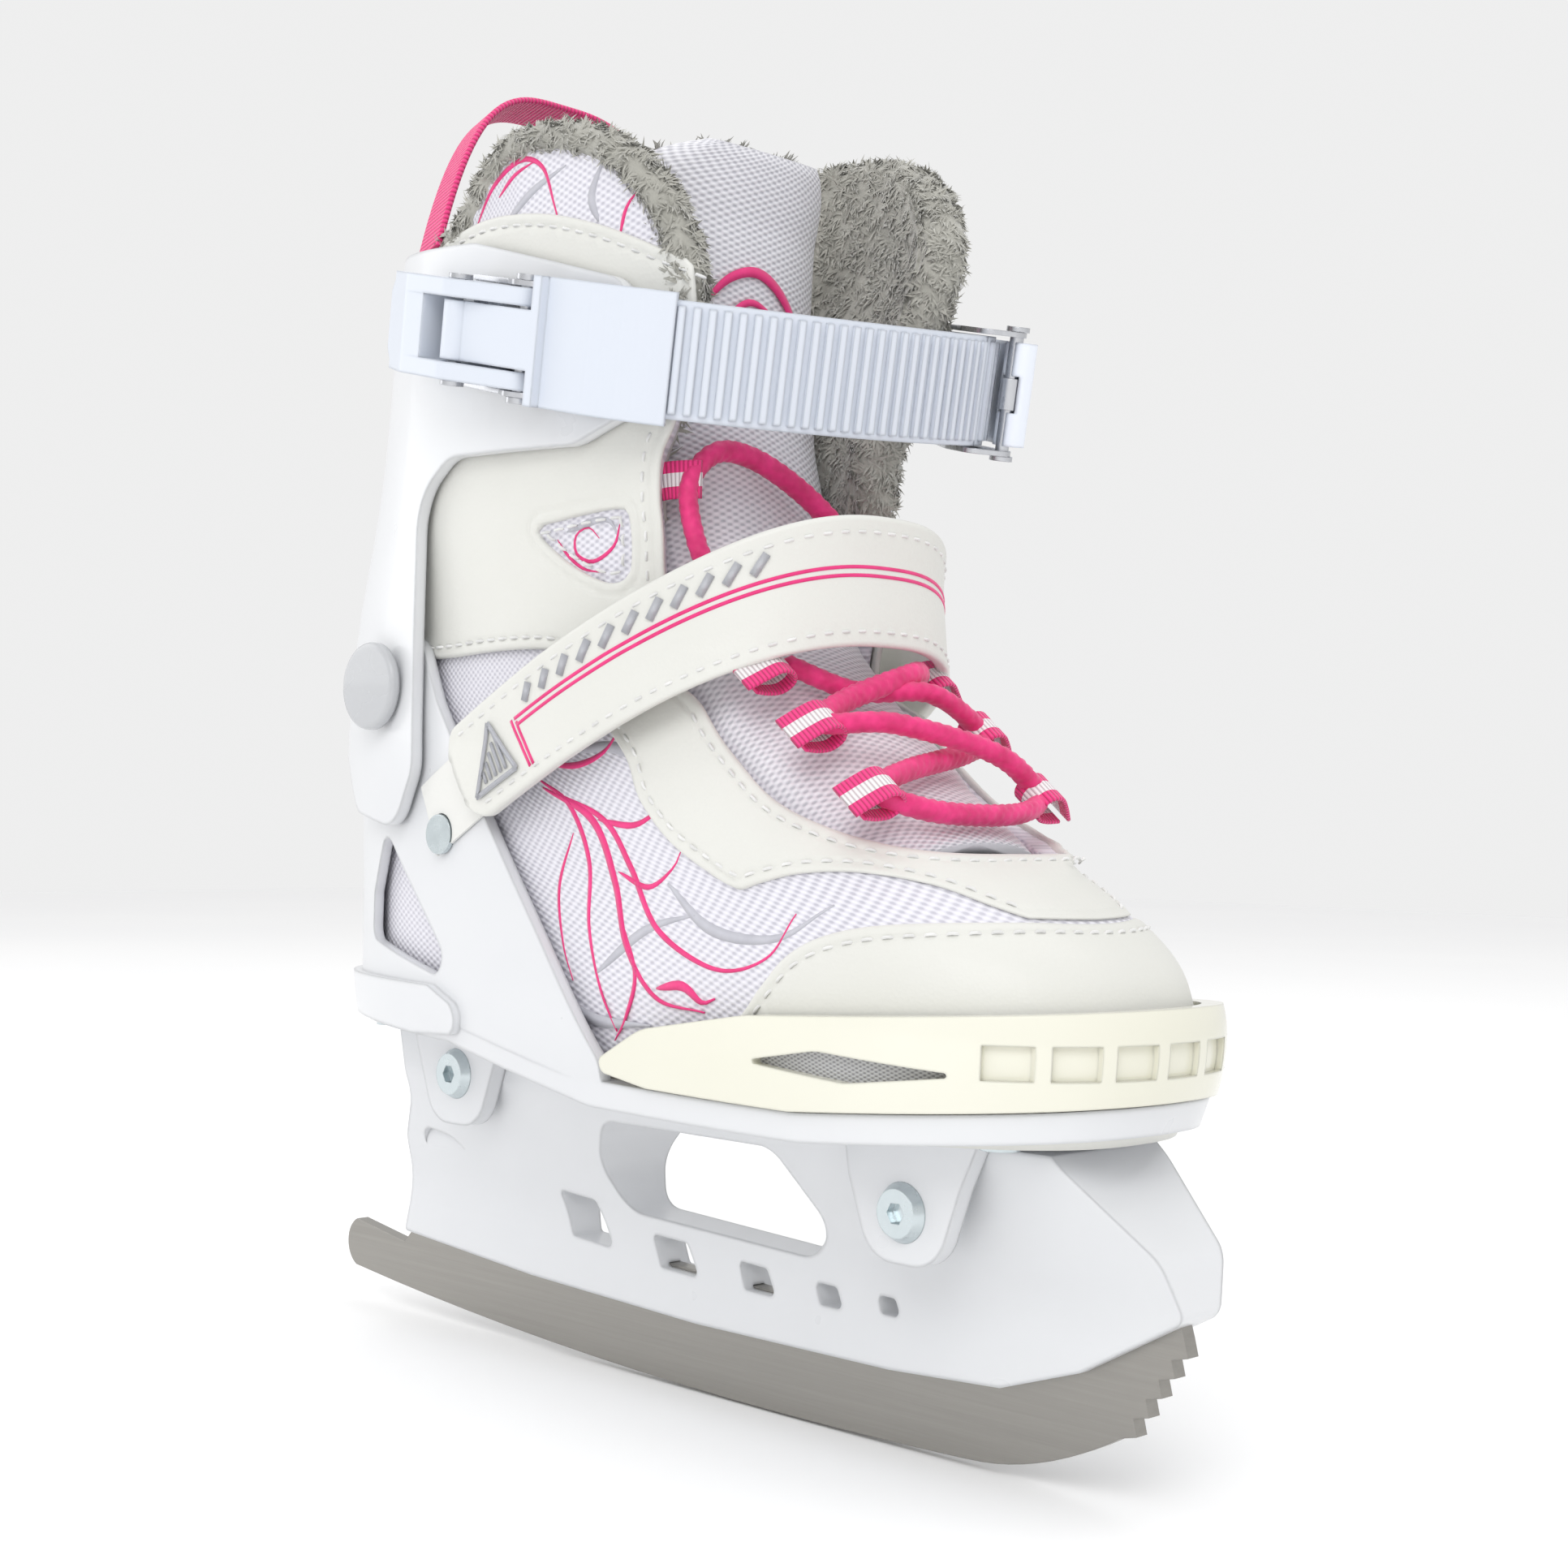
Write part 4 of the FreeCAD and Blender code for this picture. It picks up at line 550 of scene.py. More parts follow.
LOOKS.update({
    "boot_leather": leather("boot_leather", (0.71, 0.71, 0.675), (0.67, 0.67, 0.63)),
    # knit colours: own tone, painted shade for the holes, painted highlight for the stitch tops
    "tongue_mesh": knit("tongue_mesh", (0.66, 0.65, 0.70), (0.40, 0.40, 0.45), (0.82, 0.82, 0.86)),
    "side_mesh": knit("side_mesh", (0.66, 0.65, 0.71), (0.46, 0.45, 0.52), (0.80, 0.79, 0.85)),
    # plush: own grey, and a darker painted shade for the depths of the pile
    "plush": plush_look("plush", (0.54, 0.53, 0.48), (0.32, 0.315, 0.28)),
    "insole_fabric": thread_look("insole_fabric", (0.35, 0.35, 0.36), (0.26, 0.26, 0.27)),
    "board": thread_look("board", (0.45, 0.42, 0.36), (0.38, 0.35, 0.30)),
    "grip_print": plastic("grip_print", (0.62, 0.63, 0.66), (0.50, 0.51, 0.55), 0.28, 0.4),
    "thread": thread_look("thread", (0.80, 0.80, 0.79), (0.66, 0.66, 0.65)),
    "pink_print": thread_look("pink_print", (0.82, 0.03, 0.22), (0.72, 0.022, 0.18)),
    "grey_print": thread_look("grey_print", (0.52, 0.52, 0.57), (0.46, 0.46, 0.51)),
    "pink_lace": thread_look("pink_lace", (0.84, 0.03, 0.22), (0.62, 0.015, 0.14)),
    "pink_webbing": thread_look("pink_webbing", (0.84, 0.03, 0.22), (0.62, 0.015, 0.14)),
    "loop_fabric": leather("loop_fabric", (0.74, 0.74, 0.715), (0.70, 0.70, 0.67)),
})
for entry in frame["record"]["subparts"]:
    part = NODES[entry["node"]]
    part.data.materials.clear()
    part.data.materials.append(LOOKS[entry["material_slot"]])


def flexes(piece):
    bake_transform(piece)
    return piece


LATERAL_TOP = [(20.9, 162.6), (18, 178), (17, 192), (16.5, 201), (17.4, 210), (21, 217.5), (25.5, 233),
               (26.5, 245), (24.5, 257), (19, 268), (10, 277), (-4, 283.5), (-22, 286), (-37, 282),
               (-48, 273), (-58, 268.5)]
MEDIAL_TOP = [(21, 162.6), (25, 178), (28, 192), (28, 205), (29, 218), (31, 232), (33, 247), (32.5, 262),
              (28, 275), (17, 286), (0, 292), (-20, 292), (-36, 285), (-48, 275), (-58, 269)]
THROAT = [(29, 155.8), (38.4, 145.9), (51, 136.2), (62.8, 131), (74.3, 127.4), (82.5, 126.2)]
throat_side = [(side_angle(x, z), z) for x, z in THROAT[:3]] + [(-42.4, 131), (-33.3, 127.6), (-20, 125.8)]
opening = throat_side + [(0, 125.4)] + mirrored(throat_side)[::-1]
rim_line = lateral(LATERAL_TOP)[::-1] + opening + medial(MEDIAL_TOP)
RIM = curve([(-150, 268.5), (-125, 268.5)] + rim_line + [(125, 268.5), (150, 268.5)], 1.5)
BOOT_OUTLINE = to_chart([(-180, 268.5)] + [tuple(p) for p in RIM] + [(180, 268.5), (180, 66), (-180, 66)])
# x and level of the sole plate's top
SOLE_LINE = ((-115, -45, 8, 70, 120), (88.2, 86.2, 76.8, 75.8, 79.0))
ABOVE_SOLE = GRID_ZZ - np.interp(boot_point(GRID_A, GRID_ZZ)[..., 0], *SOLE_LINE)
IN_BOOT = np.minimum(true_distance(BOOT_OUTLINE), ABOVE_SOLE)

upper = panel("upper_fabric", IN_BOOT - 0.6, LOOKS["side_mesh"],
              by_level((88, 98, 160, 168, 178, 186), (-1.8, -1.2, -1.2, -2.2, -2.2, -1.2)),
              by_level((60, 200, 215), (-5.8, -5.8, -7.5)), edge=1.2)
flexes(upper)
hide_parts("boot_lower", "ankle_gusset", "boot_shaft")

# leather overlays
TOE_CAP_SEAM = [(-95, 80), (-90, 86), (-84.3, 92.5), (-80, 98.5), (-74.6, 104.2), (-66.9, 108.3), (-56, 111),
                (-41.3, 112.2), (-19.5, 112.6), (0, 112.2)]
seam = TOE_CAP_SEAM + mirrored(TOE_CAP_SEAM[:-1])[::-1]
TOE_CAP = to_chart([tuple(p) for p in curve(seam, 1.5)] + [(95, 66), (-95, 66)])

SIDE_EDGE = [(-79, 164), (-76.2, 151.3), (-75.6, 144.2), (-78.5, 135.5), (-79, 127), (-76.5, 120.6),
             (-74, 117.3), (-69, 118.6), (-58, 120.9), (-44.7, 121.4), (-31.5, 119.3), (-24.1, 115.8),
             (-18, 113.3)]
TOP_SEAM = [(-9, 113.1), (0, 112.9), (9, 113.1)]
front = ([tuple(p) for p in curve(SIDE_EDGE, 1.5)] + TOP_SEAM
         + [tuple(p) for p in curve(mirrored(SIDE_EDGE)[::-1], 1.5)])
VAMP = to_chart(front + [(60, 164.5), (-60, 164.5)])

COLLAR_EDGE = [(-46, 249), (-57, 253.5), (-72.3, 261), (-86.5, 266.8), (-95.7, 268.6), (-113, 266.5),
               (-140, 262), (-179.7, 261)]
SHAFT_LOW = [(-179.7, 171), (-130, 169), (-105.8, 168.6), (-96, 169.2), (-89.6, 169.4), (-83.4, 168.6),
             (-79, 166)]
shaft_side = [tuple(p) for p in curve(SHAFT_LOW, 1.5)] + [(-50, 165)]
shaft_side += [tuple(p) for p in curve(COLLAR_EDGE, 1.5)]
WINDOW = [(-84.8, 195.8), (-79.4, 197.6), (-66, 199), (-63.4, 197), (-62.6, 188), (-64, 184), (-69.1, 183.2),
          (-78, 188.2)]
window = distance(to_chart([tuple(p) for p in curve(WINDOW, 1.0, closed=True)]), GRID_U, GRID_ZZ)
IN_SHAFT = true_distance(to_chart(shaft_side))
IN_SHAFT = np.minimum(IN_SHAFT, -window)
overlay_back = everywhere(-1.7)
overlay_out = by_level((86, 98), (-0.6, 0.0))
shaft_out = by_level((160, 185), (-0.4, 0.0))
IN_TOE_CAP = true_distance(TOE_CAP)
IN_VAMP = np.minimum(true_distance(VAMP), IN_BOOT)
overlays = {
    "toe_cap": (IN_TOE_CAP, overlay_out),
    "vamp_overlay": (IN_VAMP, overlay_out),
    "lateral_shaft_panel": (np.minimum(IN_SHAFT, IN_BOOT), shaft_out),
    "medial_shaft_panel": (np.minimum(IN_SHAFT[:, ::-1], IN_BOOT), shaft_out),
}
for name, (d, out) in overlays.items():
    piece = panel(name, d, LOOKS["boot_leather"], out, overlay_back, edge=0.9, channel=0.35)
    flexes(piece)

SLOT = [(56, 78.5), (56, 91), (84, 91), (112, 88), (112, 79), (84, 78.5)]
# dark second colour is painted shade in the mesh holes, third colour a painted highlight on the stitches
LOOKS["slot_mesh"] = knit("slot_mesh", (0.40, 0.40, 0.41), (0.16, 0.16, 0.17), (0.55, 0.55, 0.56), 1.2)
for label, outline in (("lateral", lateral(SLOT)), ("medial", medial(SLOT))):
    piece = panel(label + "_slot_mesh", true_distance(to_chart(outline)), LOOKS["slot_mesh"],
                  everywhere(2.4), everywhere(0.6), edge=0.5)
    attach(piece, "shell")


# --------------------------------------------------------------- stitching
def surface_frame(angle, z, grow):
    """Point, outward normal, and the two surface directions there."""
    p = boot_point(angle, z, grow)
    pu = boot_point(np.asarray(angle) + 0.3, z, grow) - boot_point(np.asarray(angle) - 0.3, z, grow)
    pv = boot_point(angle, np.asarray(z) + 0.4, grow) - boot_point(angle, np.asarray(z) - 0.4, grow)
    normal = np.cross(pu, pv)
    normal /= np.linalg.norm(normal, axis=-1, keepdims=True)
    return p, normal


STITCH_PITCH = 4.3
STITCH_LENGTH = 2.7
THREAD_R = 0.36
THREAD_SIZES = (0.7, 1.0, 1.0, 1.0, 0.7)      # thinner where a stitch dives into the leather
STITCH_SHARES = (0.0, 0.18, 0.5, 0.82, 1.0)


def thread(verts, faces, spine, normal, across, lifts):
    """Adds one stitch along five spine points, each lifted along the normal."""
    base = len(verts)
    for point, lift, size in zip(spine, lifts, THREAD_SIZES):
        for turn in np.arange(6) * math.pi / 3:
            verts.append(point + normal * (lift + THREAD_R * size * math.sin(turn))
                         + across * THREAD_R * size * math.cos(turn))
    for k in range(4):
        for m in range(6):
            a, b = base + 6 * k + m, base + 6 * k + (m + 1) % 6
            faces.append([a, b, b + 6, a + 6])
    faces.append([base + m for m in range(5, -1, -1)])
    faces.append([base + 24 + m for m in range(6)])


def joined(parts):
    """Several (verts, faces) as one."""
    verts, faces = [], []
    for v, f in parts:
        faces += [[k + len(verts) for k in face] for face in f]
        verts += v
    return verts, faces


def stitches(line, inset, grow, keep=None):
    """Thread stitches along a line of (angle, level), inset to its left."""
    line = np.asarray(line, float)
    p, normal = surface_frame(line[:, 0], line[:, 1], grow)
    way = np.gradient(p, axis=0)
    way /= np.linalg.norm(way, axis=1, keepdims=True) + 1e-9
    p = p + np.cross(normal, way) * inset
    arc = np.concatenate(([0], np.cumsum(np.linalg.norm(np.diff(p, axis=0), axis=1))))
    verts, faces = [], []
    for start in np.arange(0.5, arc[-1] - STITCH_LENGTH, STITCH_PITCH):
        at = start + STITCH_LENGTH * np.array(STITCH_SHARES)
        q = np.stack([np.interp(at, arc, p[:, k]) for k in range(3)], 1)
        n = np.stack([np.interp(at, arc, normal[:, k]) for k in range(3)], 1)
        if keep is not None and not keep(q[2]):
            continue
        if np.linalg.norm(q[-1] - q[0]) < 0.6 * STITCH_LENGTH:
            continue
        w = q[-1] - q[0]
        w /= np.linalg.norm(w)
        thread(verts, faces, q, n[2], np.cross(n[2], w), (-0.5, 0.1, 0.22, 0.1, -0.5))
    return verts, faces


def stitch_piece(name, runs):
    verts, faces = joined(stitches(**run) for run in runs)
    piece = mesh_object(name, verts, faces, LOOKS["thread"])
    return piece


def inside_boot(q):
    return q[2] > 80


eyestay = curve(opening, 1.5)
lateral_front = curve(lateral(LATERAL_TOP)[:7], 1.5)
medial_front = curve(medial(MEDIAL_TOP)[:7], 1.5)
runs = [
    dict(line=curve(seam, 1.5), inset=-2.7, grow=-0.2, keep=inside_boot),
    dict(line=curve(SIDE_EDGE, 1.5), inset=2.7, grow=-0.2),
    dict(line=curve(mirrored(SIDE_EDGE)[::-1], 1.5), inset=2.7, grow=-0.2),
    dict(line=eyestay, inset=-2.7, grow=-0.2),
    dict(line=curve(COLLAR_EDGE, 1.5), inset=2.7, grow=-0.2),
    dict(line=curve(mirrored(COLLAR_EDGE)[::-1], 1.5), inset=2.7, grow=-0.2),
    dict(line=curve(SHAFT_LOW, 1.5), inset=2.7, grow=-0.2),
    dict(line=curve(mirrored(SHAFT_LOW)[::-1], 1.5), inset=2.7, grow=-0.2),
    dict(line=lateral_front, inset=4.2, grow=-0.1),
    dict(line=medial_front, inset=-4.2, grow=-0.1),
    dict(line=curve(WINDOW, 1.0, closed=True), inset=-2.0, grow=-0.1),
    dict(line=curve(mirrored(WINDOW)[::-1], 1.0, closed=True), inset=-2.0, grow=-0.1),
]
flexes(stitch_piece("upper_stitching", runs))


# -------------------------------------------------------------- lofted goods
def frames(path, up=None):
    """Tangent, and two directions across, at each point of a path."""
    way = np.gradient(path, axis=0)
    way /= np.linalg.norm(way, axis=1, keepdims=True) + 1e-9
    side = np.zeros_like(path)
    last = np.cross(way[0], (0.0, 0.0, 1.0)) if up is None else np.cross(way[0], up[0])
    for k in range(len(path)):
        last = last - way[k] * last.dot(way[k]) if up is None else np.cross(way[k], up[k])
        last = last / np.linalg.norm(last)
        side[k] = last
    return way, side, np.cross(side, way)


def loft(name, sections, material):
    """Capped form through cross-sections of equal point count; skin holds girth and length in mm."""
    sections = np.asarray(sections, float)
    rows, cols = sections.shape[:2]
    faces = []
    for i in range(rows - 1):
        for j in range(cols):
            a, b = i * cols + j, i * cols + (j + 1) % cols
            c, d = (i + 1) * cols + (j + 1) % cols, (i + 1) * cols + j
            faces.append([a, b, c, d])
    faces.append(list(range(cols - 1, -1, -1)))
    faces.append([(rows - 1) * cols + j for j in range(cols)])
    girth = np.concatenate(([0], np.cumsum(np.linalg.norm(np.diff(sections[rows // 2], axis=0), axis=1))))
    middle = sections.mean(1)
    run = np.concatenate(([0], np.cumsum(np.linalg.norm(np.diff(middle, axis=0), axis=1))))
    skin = np.zeros((rows, cols, 3))
    skin[:, :, 0] = girth[None, :]
    skin[:, :, 1] = run[:, None]
    made = mesh_object(name, sections.reshape(-1, 3), faces, material, skin.reshape(-1, 3))
    return outward(made)


def band_section(half, thick, flat=14, corner=4, edge=None):
    """Rounded flat section: pairs of offset across and offset above."""
    edge = min(thick / 2, half) if edge is None else edge
    out = []
    for cx, cy, start in ((half - edge, thick / 2 - edge, 0), (-half + edge, thick / 2 - edge, 90),
                          (-half + edge, -thick / 2 + edge, 180), (half - edge, -thick / 2 + edge, 270)):
        for k in range(corner + 1):
            turn = math.radians(start + 90 * k / corner)
            out.append((cx + edge * math.cos(turn), cy + edge * math.sin(turn)))
        if start == 0 or start == 180:
            sign = 1 if start == 0 else -1
            for k in range(1, flat):
                out.append((sign * (half - edge) * (1 - 2 * k / flat), cy + sign * edge))
    return np.array(out)


def band(name, path, up, half, thick, material, **section):
    way, side, above = frames(path, up)
    shape = band_section(half, thick, **section)
    sections = [p + np.outer(shape[:, 0], s) + np.outer(shape[:, 1], n) for p, s, n in zip(path, side, above)]
    return loft(name, sections, material)


# -------------------------------------------------------------------- tongue
TONGUE_SIDE = [(80, 126.5), (66, 137), (52, 149.5), (40.5, 159), (32, 167), (24.5, 177), (19, 189),
               (15.5, 202), (12, 218), (9.5, 236), (9, 256), (11, 272), (14, 283)]


def tongue_piece():
    side_line = curve(TONGUE_SIDE, 2.0)
    way = np.gradient(side_line, axis=0)
    way /= np.linalg.norm(way, axis=1, keepdims=True)
    normal = np.stack((way[:, 1], -way[:, 0]), 1)
    arc = np.concatenate(([0], np.cumsum(np.linalg.norm(np.diff(side_line, axis=0), axis=1))))
    share = arc / arc[-1]
    sections = []
    for (x, z), (nx, nz), t, s in zip(side_line, normal, share, arc):
        left = arc[-1] - s
        half = np.interp(t, (0, 0.06, 0.28, 0.42, 0.62, 1), (22, 29.5, 31.5, 28, 26.5, 28.5))
        half -= 12.0 * max(0.0, 1 - left / 14.0) ** 2.5
        thick = 9.0 * min(1.0, 0.35 + left / 7.0) * min(1.0, 0.3 + s / 9.0)
        row = []
        for offset, above in band_section(half, thick, flat=26, corner=5, edge=thick * 0.49):
            bow = 8.5 * (abs(offset) / 26.0) ** 2.4
            puff = 1.3 * math.sin(math.pi * min(max((s % 24.0) / 24.0, 0), 1)) if above > 0 else 0.0
            rise = above - thick / 2 + 1.2 - bow + puff * 0.5
            row.append((x + nx * rise, offset, z + nz * rise))
        sections.append(row)
    return loft("tongue", sections, LOOKS["tongue_mesh"])


tongue = tongue_piece()
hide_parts("tongue_lower", "tongue_fold", "tongue_upper")
flexes(tongue)


def tongue_art(points, width):
    """Printed stroke on the tongue's front: (offset, level) points."""
    dense = curve(points, 1.2)
    level = np.array([z for _, z in TONGUE_SIDE])
    x = np.interp(dense[:, 1], level, [x for x, _ in TONGUE_SIDE])
    bow = 8.5 * (np.abs(dense[:, 0]) / 26.0) ** 2.4
    path = np.stack((x + 1.75 - bow, dense[:, 0], dense[:, 1]), 1)
    lean = 0.33 * np.sign(dense[:, 0]) * (np.abs(dense[:, 0]) / 26.0) ** 1.4
    normal = np.stack((np.ones(len(path)), lean, np.zeros(len(path))), 1)
    normal /= np.linalg.norm(normal, axis=1, keepdims=True)
    share = np.linspace(0, 1, len(dense))
    return path, normal, width * (0.2 + 0.8 * np.sin(math.pi * share) ** 0.8)


TONGUE_ART = (([(-17, 246), (-9, 254), (0, 256), (9, 250), (14, 240)], 2.4),
              ([(-12, 243), (-4, 249), (4, 247)], 1.6),
              ([(-2, 238), (4, 243), (12, 236)], 1.2))

# --------------------------------------------------------------------- laces
LACE_ORIGIN = np.array((77.0, 0, 130.0))
LACE_SLOPE = math.radians(39.8)
LACE_ALONG = np.array((-math.cos(LACE_SLOPE), 0, math.sin(LACE_SLOPE)))
LACE_ABOVE = np.array((math.sin(LACE_SLOPE), 0, math.cos(LACE_SLOPE)))
LACE_ROWS = (6.0, 27.5, 46.5)
LOOP_Y = 25.5
LACE_R = 2.5
LACE_FLATNESS = 0.86
BRAID_PITCH = 5.2


def on_lacing(rows):
    return np.array([LACE_ORIGIN + LACE_ALONG * s + np.array((0, y, 0)) + LACE_ABOVE * h for s, y, h in rows])


def braid(name, points):
    """Round braided cord: strands cross in a diamond pattern round it."""
    path = curve(points, 0.55)
    way, side, above = frames(path)
    arc = np.concatenate(([0], np.cumsum(np.linalg.norm(np.diff(path, axis=0), axis=1))))
    turns = np.arange(24) * 2 * math.pi / 24
    sections = []
    for p, s, n, at in zip(path, side, above, arc):
        phase = at * 2 * math.pi / BRAID_PITCH
        weave = np.abs(np.sin(2 * turns + phase)) * np.abs(np.sin(2 * turns - phase))
        r = LACE_R * (0.90 + 0.15 * np.sqrt(weave))
        ends = min(1.0, 0.55 + min(at, arc[-1] - at) / 2.5)
        r = r * ends
        sections.append(p + np.outer(np.cos(turns) * r, s) + np.outer(np.sin(turns) * r * LACE_FLATNESS, n))
    piece = loft(name, sections, LOOKS["pink_lace"])
    return piece


low, middle, high = LACE_ROWS
lower_lace = braid("lace_lower_braid", on_lacing([
    (high + 4, -20, 3.5), (high - 6, -6, 4.6), (middle + 7, 10, 9.5), (middle + 1, LOOP_Y, 3.7),
    (middle - 6, 14, 3.9), (low + 8, -12, 4.2), (low + 2, -LOOP_Y, 3.7), (low - 4, -16, 3.8),
    (low - 6, 0, 4.2), (low - 4, 16, 3.8), (low + 2, LOOP_Y, 3.7), (low + 8, 13, 9.5),
    (middle - 5, -12, 9.8), (middle + 1, -LOOP_Y, 4.5), (middle + 8, -14, 5.6), (high - 6, 8, 10.2),
    (high + 2, 21, 4.5)]))
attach(lower_lace, "shell")
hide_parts("lace_lower")
upper_lace = braid("lace_upper_braid", [(24, -24, 181), (20, -27, 192), (17.5, -27, 204), (18, -20, 212),
                                        (19.5, -10, 212), (22.5, 2, 206), (26, 12, 197), (29, 20, 186)])
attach(upper_lace, "cuff")
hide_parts("lace_upper")


def webbing(name, scale=1.9):
    """Ribbed pink webbing with a pale stripe down its middle, the grooves between ribs painted darker as
    shade; skin X runs across, Y along.
    """
    g = Graph(name, 0.55, (0.8, 0.04, 0.2))
    split = g.node("SeparateXYZ")
    g.link(g.node("Attribute", attribute_name="skin").outputs["Vector"], split.inputs[0])
    rib = g.math("ABSOLUTE", g.math("SINE", g.math("MULTIPLY", split.outputs["Y"], 2 * math.pi / scale)))
    off = g.math("ABSOLUTE", split.outputs["Z"])
    stripe = g.math("LESS_THAN", off, 1.5)
    # grooves between ribs take a painted shade colour, in the pink and in the pale stripe
    pink = g.ramp(rib, ((0.1, (0.55, 0.012, 0.12)), (0.6, (0.84, 0.03, 0.22))))
    pale = g.ramp(rib, ((0.1, (0.62, 0.50, 0.54)), (0.6, (0.84, 0.80, 0.81))))
    g.color(g.mix(stripe, pink, pale))
    g.roughness(g.noise(300.0), 0.5, 0.68)
    g.bump(rib, 0.4, 0.8)
    g.shader.inputs["Sheen Weight"].default_value = 0.2
    return g.mat


LOOKS["striped_webbing"] = webbing("striped_webbing")
LOOKS["pull_webbing"] = webbing("pull_webbing", 2.4)
for node in LOOKS["pull_webbing"].node_tree.nodes:
    if node.type == "MATH" and node.operation == "LESS_THAN":
        node.inputs[1].default_value = -1.0


def across(piece, shape, rows):
    """Third weave coordinate: signed offset across the band."""
    layer = piece.data.attributes["skin"]
    values = np.zeros(len(piece.data.vertices) * 3, np.float32)
    layer.data.foreach_get("vector", values)
    values = values.reshape(-1, 3)
    values[:, 2] = np.tile(shape[:, 0], rows)
    layer.data.foreach_set("vector", values.ravel())


def flat_band(name, path, up, half, thick, material):
    piece = band(name, path, up, half, thick, material, flat=10, corner=3, edge=thick * 0.45)
    shape = band_section(half, thick, flat=10, corner=3, edge=thick * 0.45)
    across(piece, shape, len(path))
    return piece


loops = []
for index, row in enumerate(LACE_ROWS):
    for side in (-1, 1):
        lift = 0.3 if index < 2 else -0.2
        bend = [(34.0, 1.0), (30.5, 4.0 + lift), (27.0, 6.4 + lift), (23.6, 6.0 + lift), (22.0, 3.6),
                (23.6, 1.0), (27.0, 0.2), (31.0, 0.4)]
        run = [(row + 1, side * y, height) for y, height in bend]
        path = curve(on_lacing(run), 0.8)
        way = np.gradient(path, axis=0)
        up = np.cross(way / np.linalg.norm(way, axis=1, keepdims=True), LACE_ALONG)
        loops.append(flat_band("lace_loop_%d%s" % (index, "LM"[side > 0]), path, up, 4.4, 0.9,
                               LOOKS["striped_webbing"]))
for piece in loops:
    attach(piece, "shell")
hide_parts("lace_loops")

upper_loops = []
for side in (-1, 1):
    run = [(6, side * 33, 203), (12, side * 30.5, 205), (17.5, side * 27.5, 205.5), (19.5, side * 25, 205.5)]
    path = curve(run, 0.8)
    up = np.tile((0.55, side * 0.83, 0.0), (len(path), 1))
    upper_loops.append(flat_band("upper_loop_" + "LM"[side > 0], path, up, 4.2, 0.9,
                                 LOOKS["striped_webbing"]))
    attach(upper_loops[-1], "cuff")
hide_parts("upper_lace_loops")

# ----------------------------------------------------------------- pull loop
span_low, span_high = np.array((-62, -39.6, 265.5)), np.array((-62, 41.2, 265.5))
arch = []
for k in range(61):
    share = (1 - math.cos(math.pi * k / 60)) / 2
    lift = 43.0 * (1 - abs(2 * share - 1) ** 3.2)
    rise = np.array((-5.0 * math.sin(math.pi * share), 0, lift))
    arch.append(span_low + (span_high - span_low) * share + rise)
arch = np.array(arch)
arch_way = np.gradient(arch, axis=0)
arch_up = np.cross(arch_way, (1.0, 0, 0))
arch_up[:, 0] += 0.25 * np.linalg.norm(arch_up, axis=1)
pull = flat_band("pull_loop_webbing", arch, arch_up, 6.0, 1.5, LOOKS["pull_webbing"])
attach(pull, "cuff")
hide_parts("pull_loop")

# -------------------------------------------------------------- instep strap
STRAP_SLOPE = math.radians(27.5)
STRAP_HALF = 12.5


def strap_gap(z):
    return np.interp(z, (148, 166), (4.8, 7.0))


def strap_point(angle, w, above):
    """Point on the instep strap: angle round the boot, w up across it, above its inner face."""
    z = 138.0
    for _ in range(40):
        x = form_point(angle, z, strap_gap(z))[0]
        z = 0.5 * z + 0.5 * (138.0 + (x + 36.0) * math.tan(STRAP_SLOPE) + w / math.cos(STRAP_SLOPE))
    z = min(max(z, 112.0), 224.0)
    return form_point(angle, z, strap_gap(z) + above)


def strap_angles():
    """Angles evenly spaced along the strap, from the lateral tab to the medial rivet."""
    tries = np.linspace(-100.5, 108.0, 240)
    centre = np.array([strap_point(a, 0.0, 3.0) for a in tries])
    run = np.concatenate(([0], np.cumsum(np.linalg.norm(np.diff(centre, axis=0), axis=1))))
    at = np.arange(0, run[-1], 1.5)
    return np.interp(at, run, tries), at


STRAP_ANGLES, STRAP_RUN = strap_angles()


def strap_piece():
    sections = []
    for angle, run in zip(STRAP_ANGLES, STRAP_RUN):
        tip = min(run, STRAP_RUN[-1] - run)
        half = STRAP_HALF - 5.0 * max(0.0, 1 - tip / 6.0) ** 2.4
        row = []
        for offset, above in band_section(half, 3.0, flat=16, corner=4, edge=1.1):
            groove = 0.3 * max(0.0, 1 - abs(abs(offset) - (half - 3.0)) / 1.0) if above > 0 else 0.0
            row.append(strap_point(angle, offset, above + 1.5 - groove))
        sections.append(row)
    piece = loft("instep_strap", sections, LOOKS["boot_leather"])
    return piece


strap = strap_piece()
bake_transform(strap)
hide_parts("instep_strap_wrap", "instep_strap_flap")


def strap_frame(run, w, above):
    angle = float(np.interp(run, STRAP_RUN, STRAP_ANGLES))
    return strap_point(angle, w, above)


def on_strap(points, above=3.0):
    return np.array([strap_frame(run, w, above) for run, w in points])


def strap_normals(path, points):
    return np.array([strap_frame(run, w, 5.0) - strap_frame(run, w, 3.0) for run, w in points]) / 2


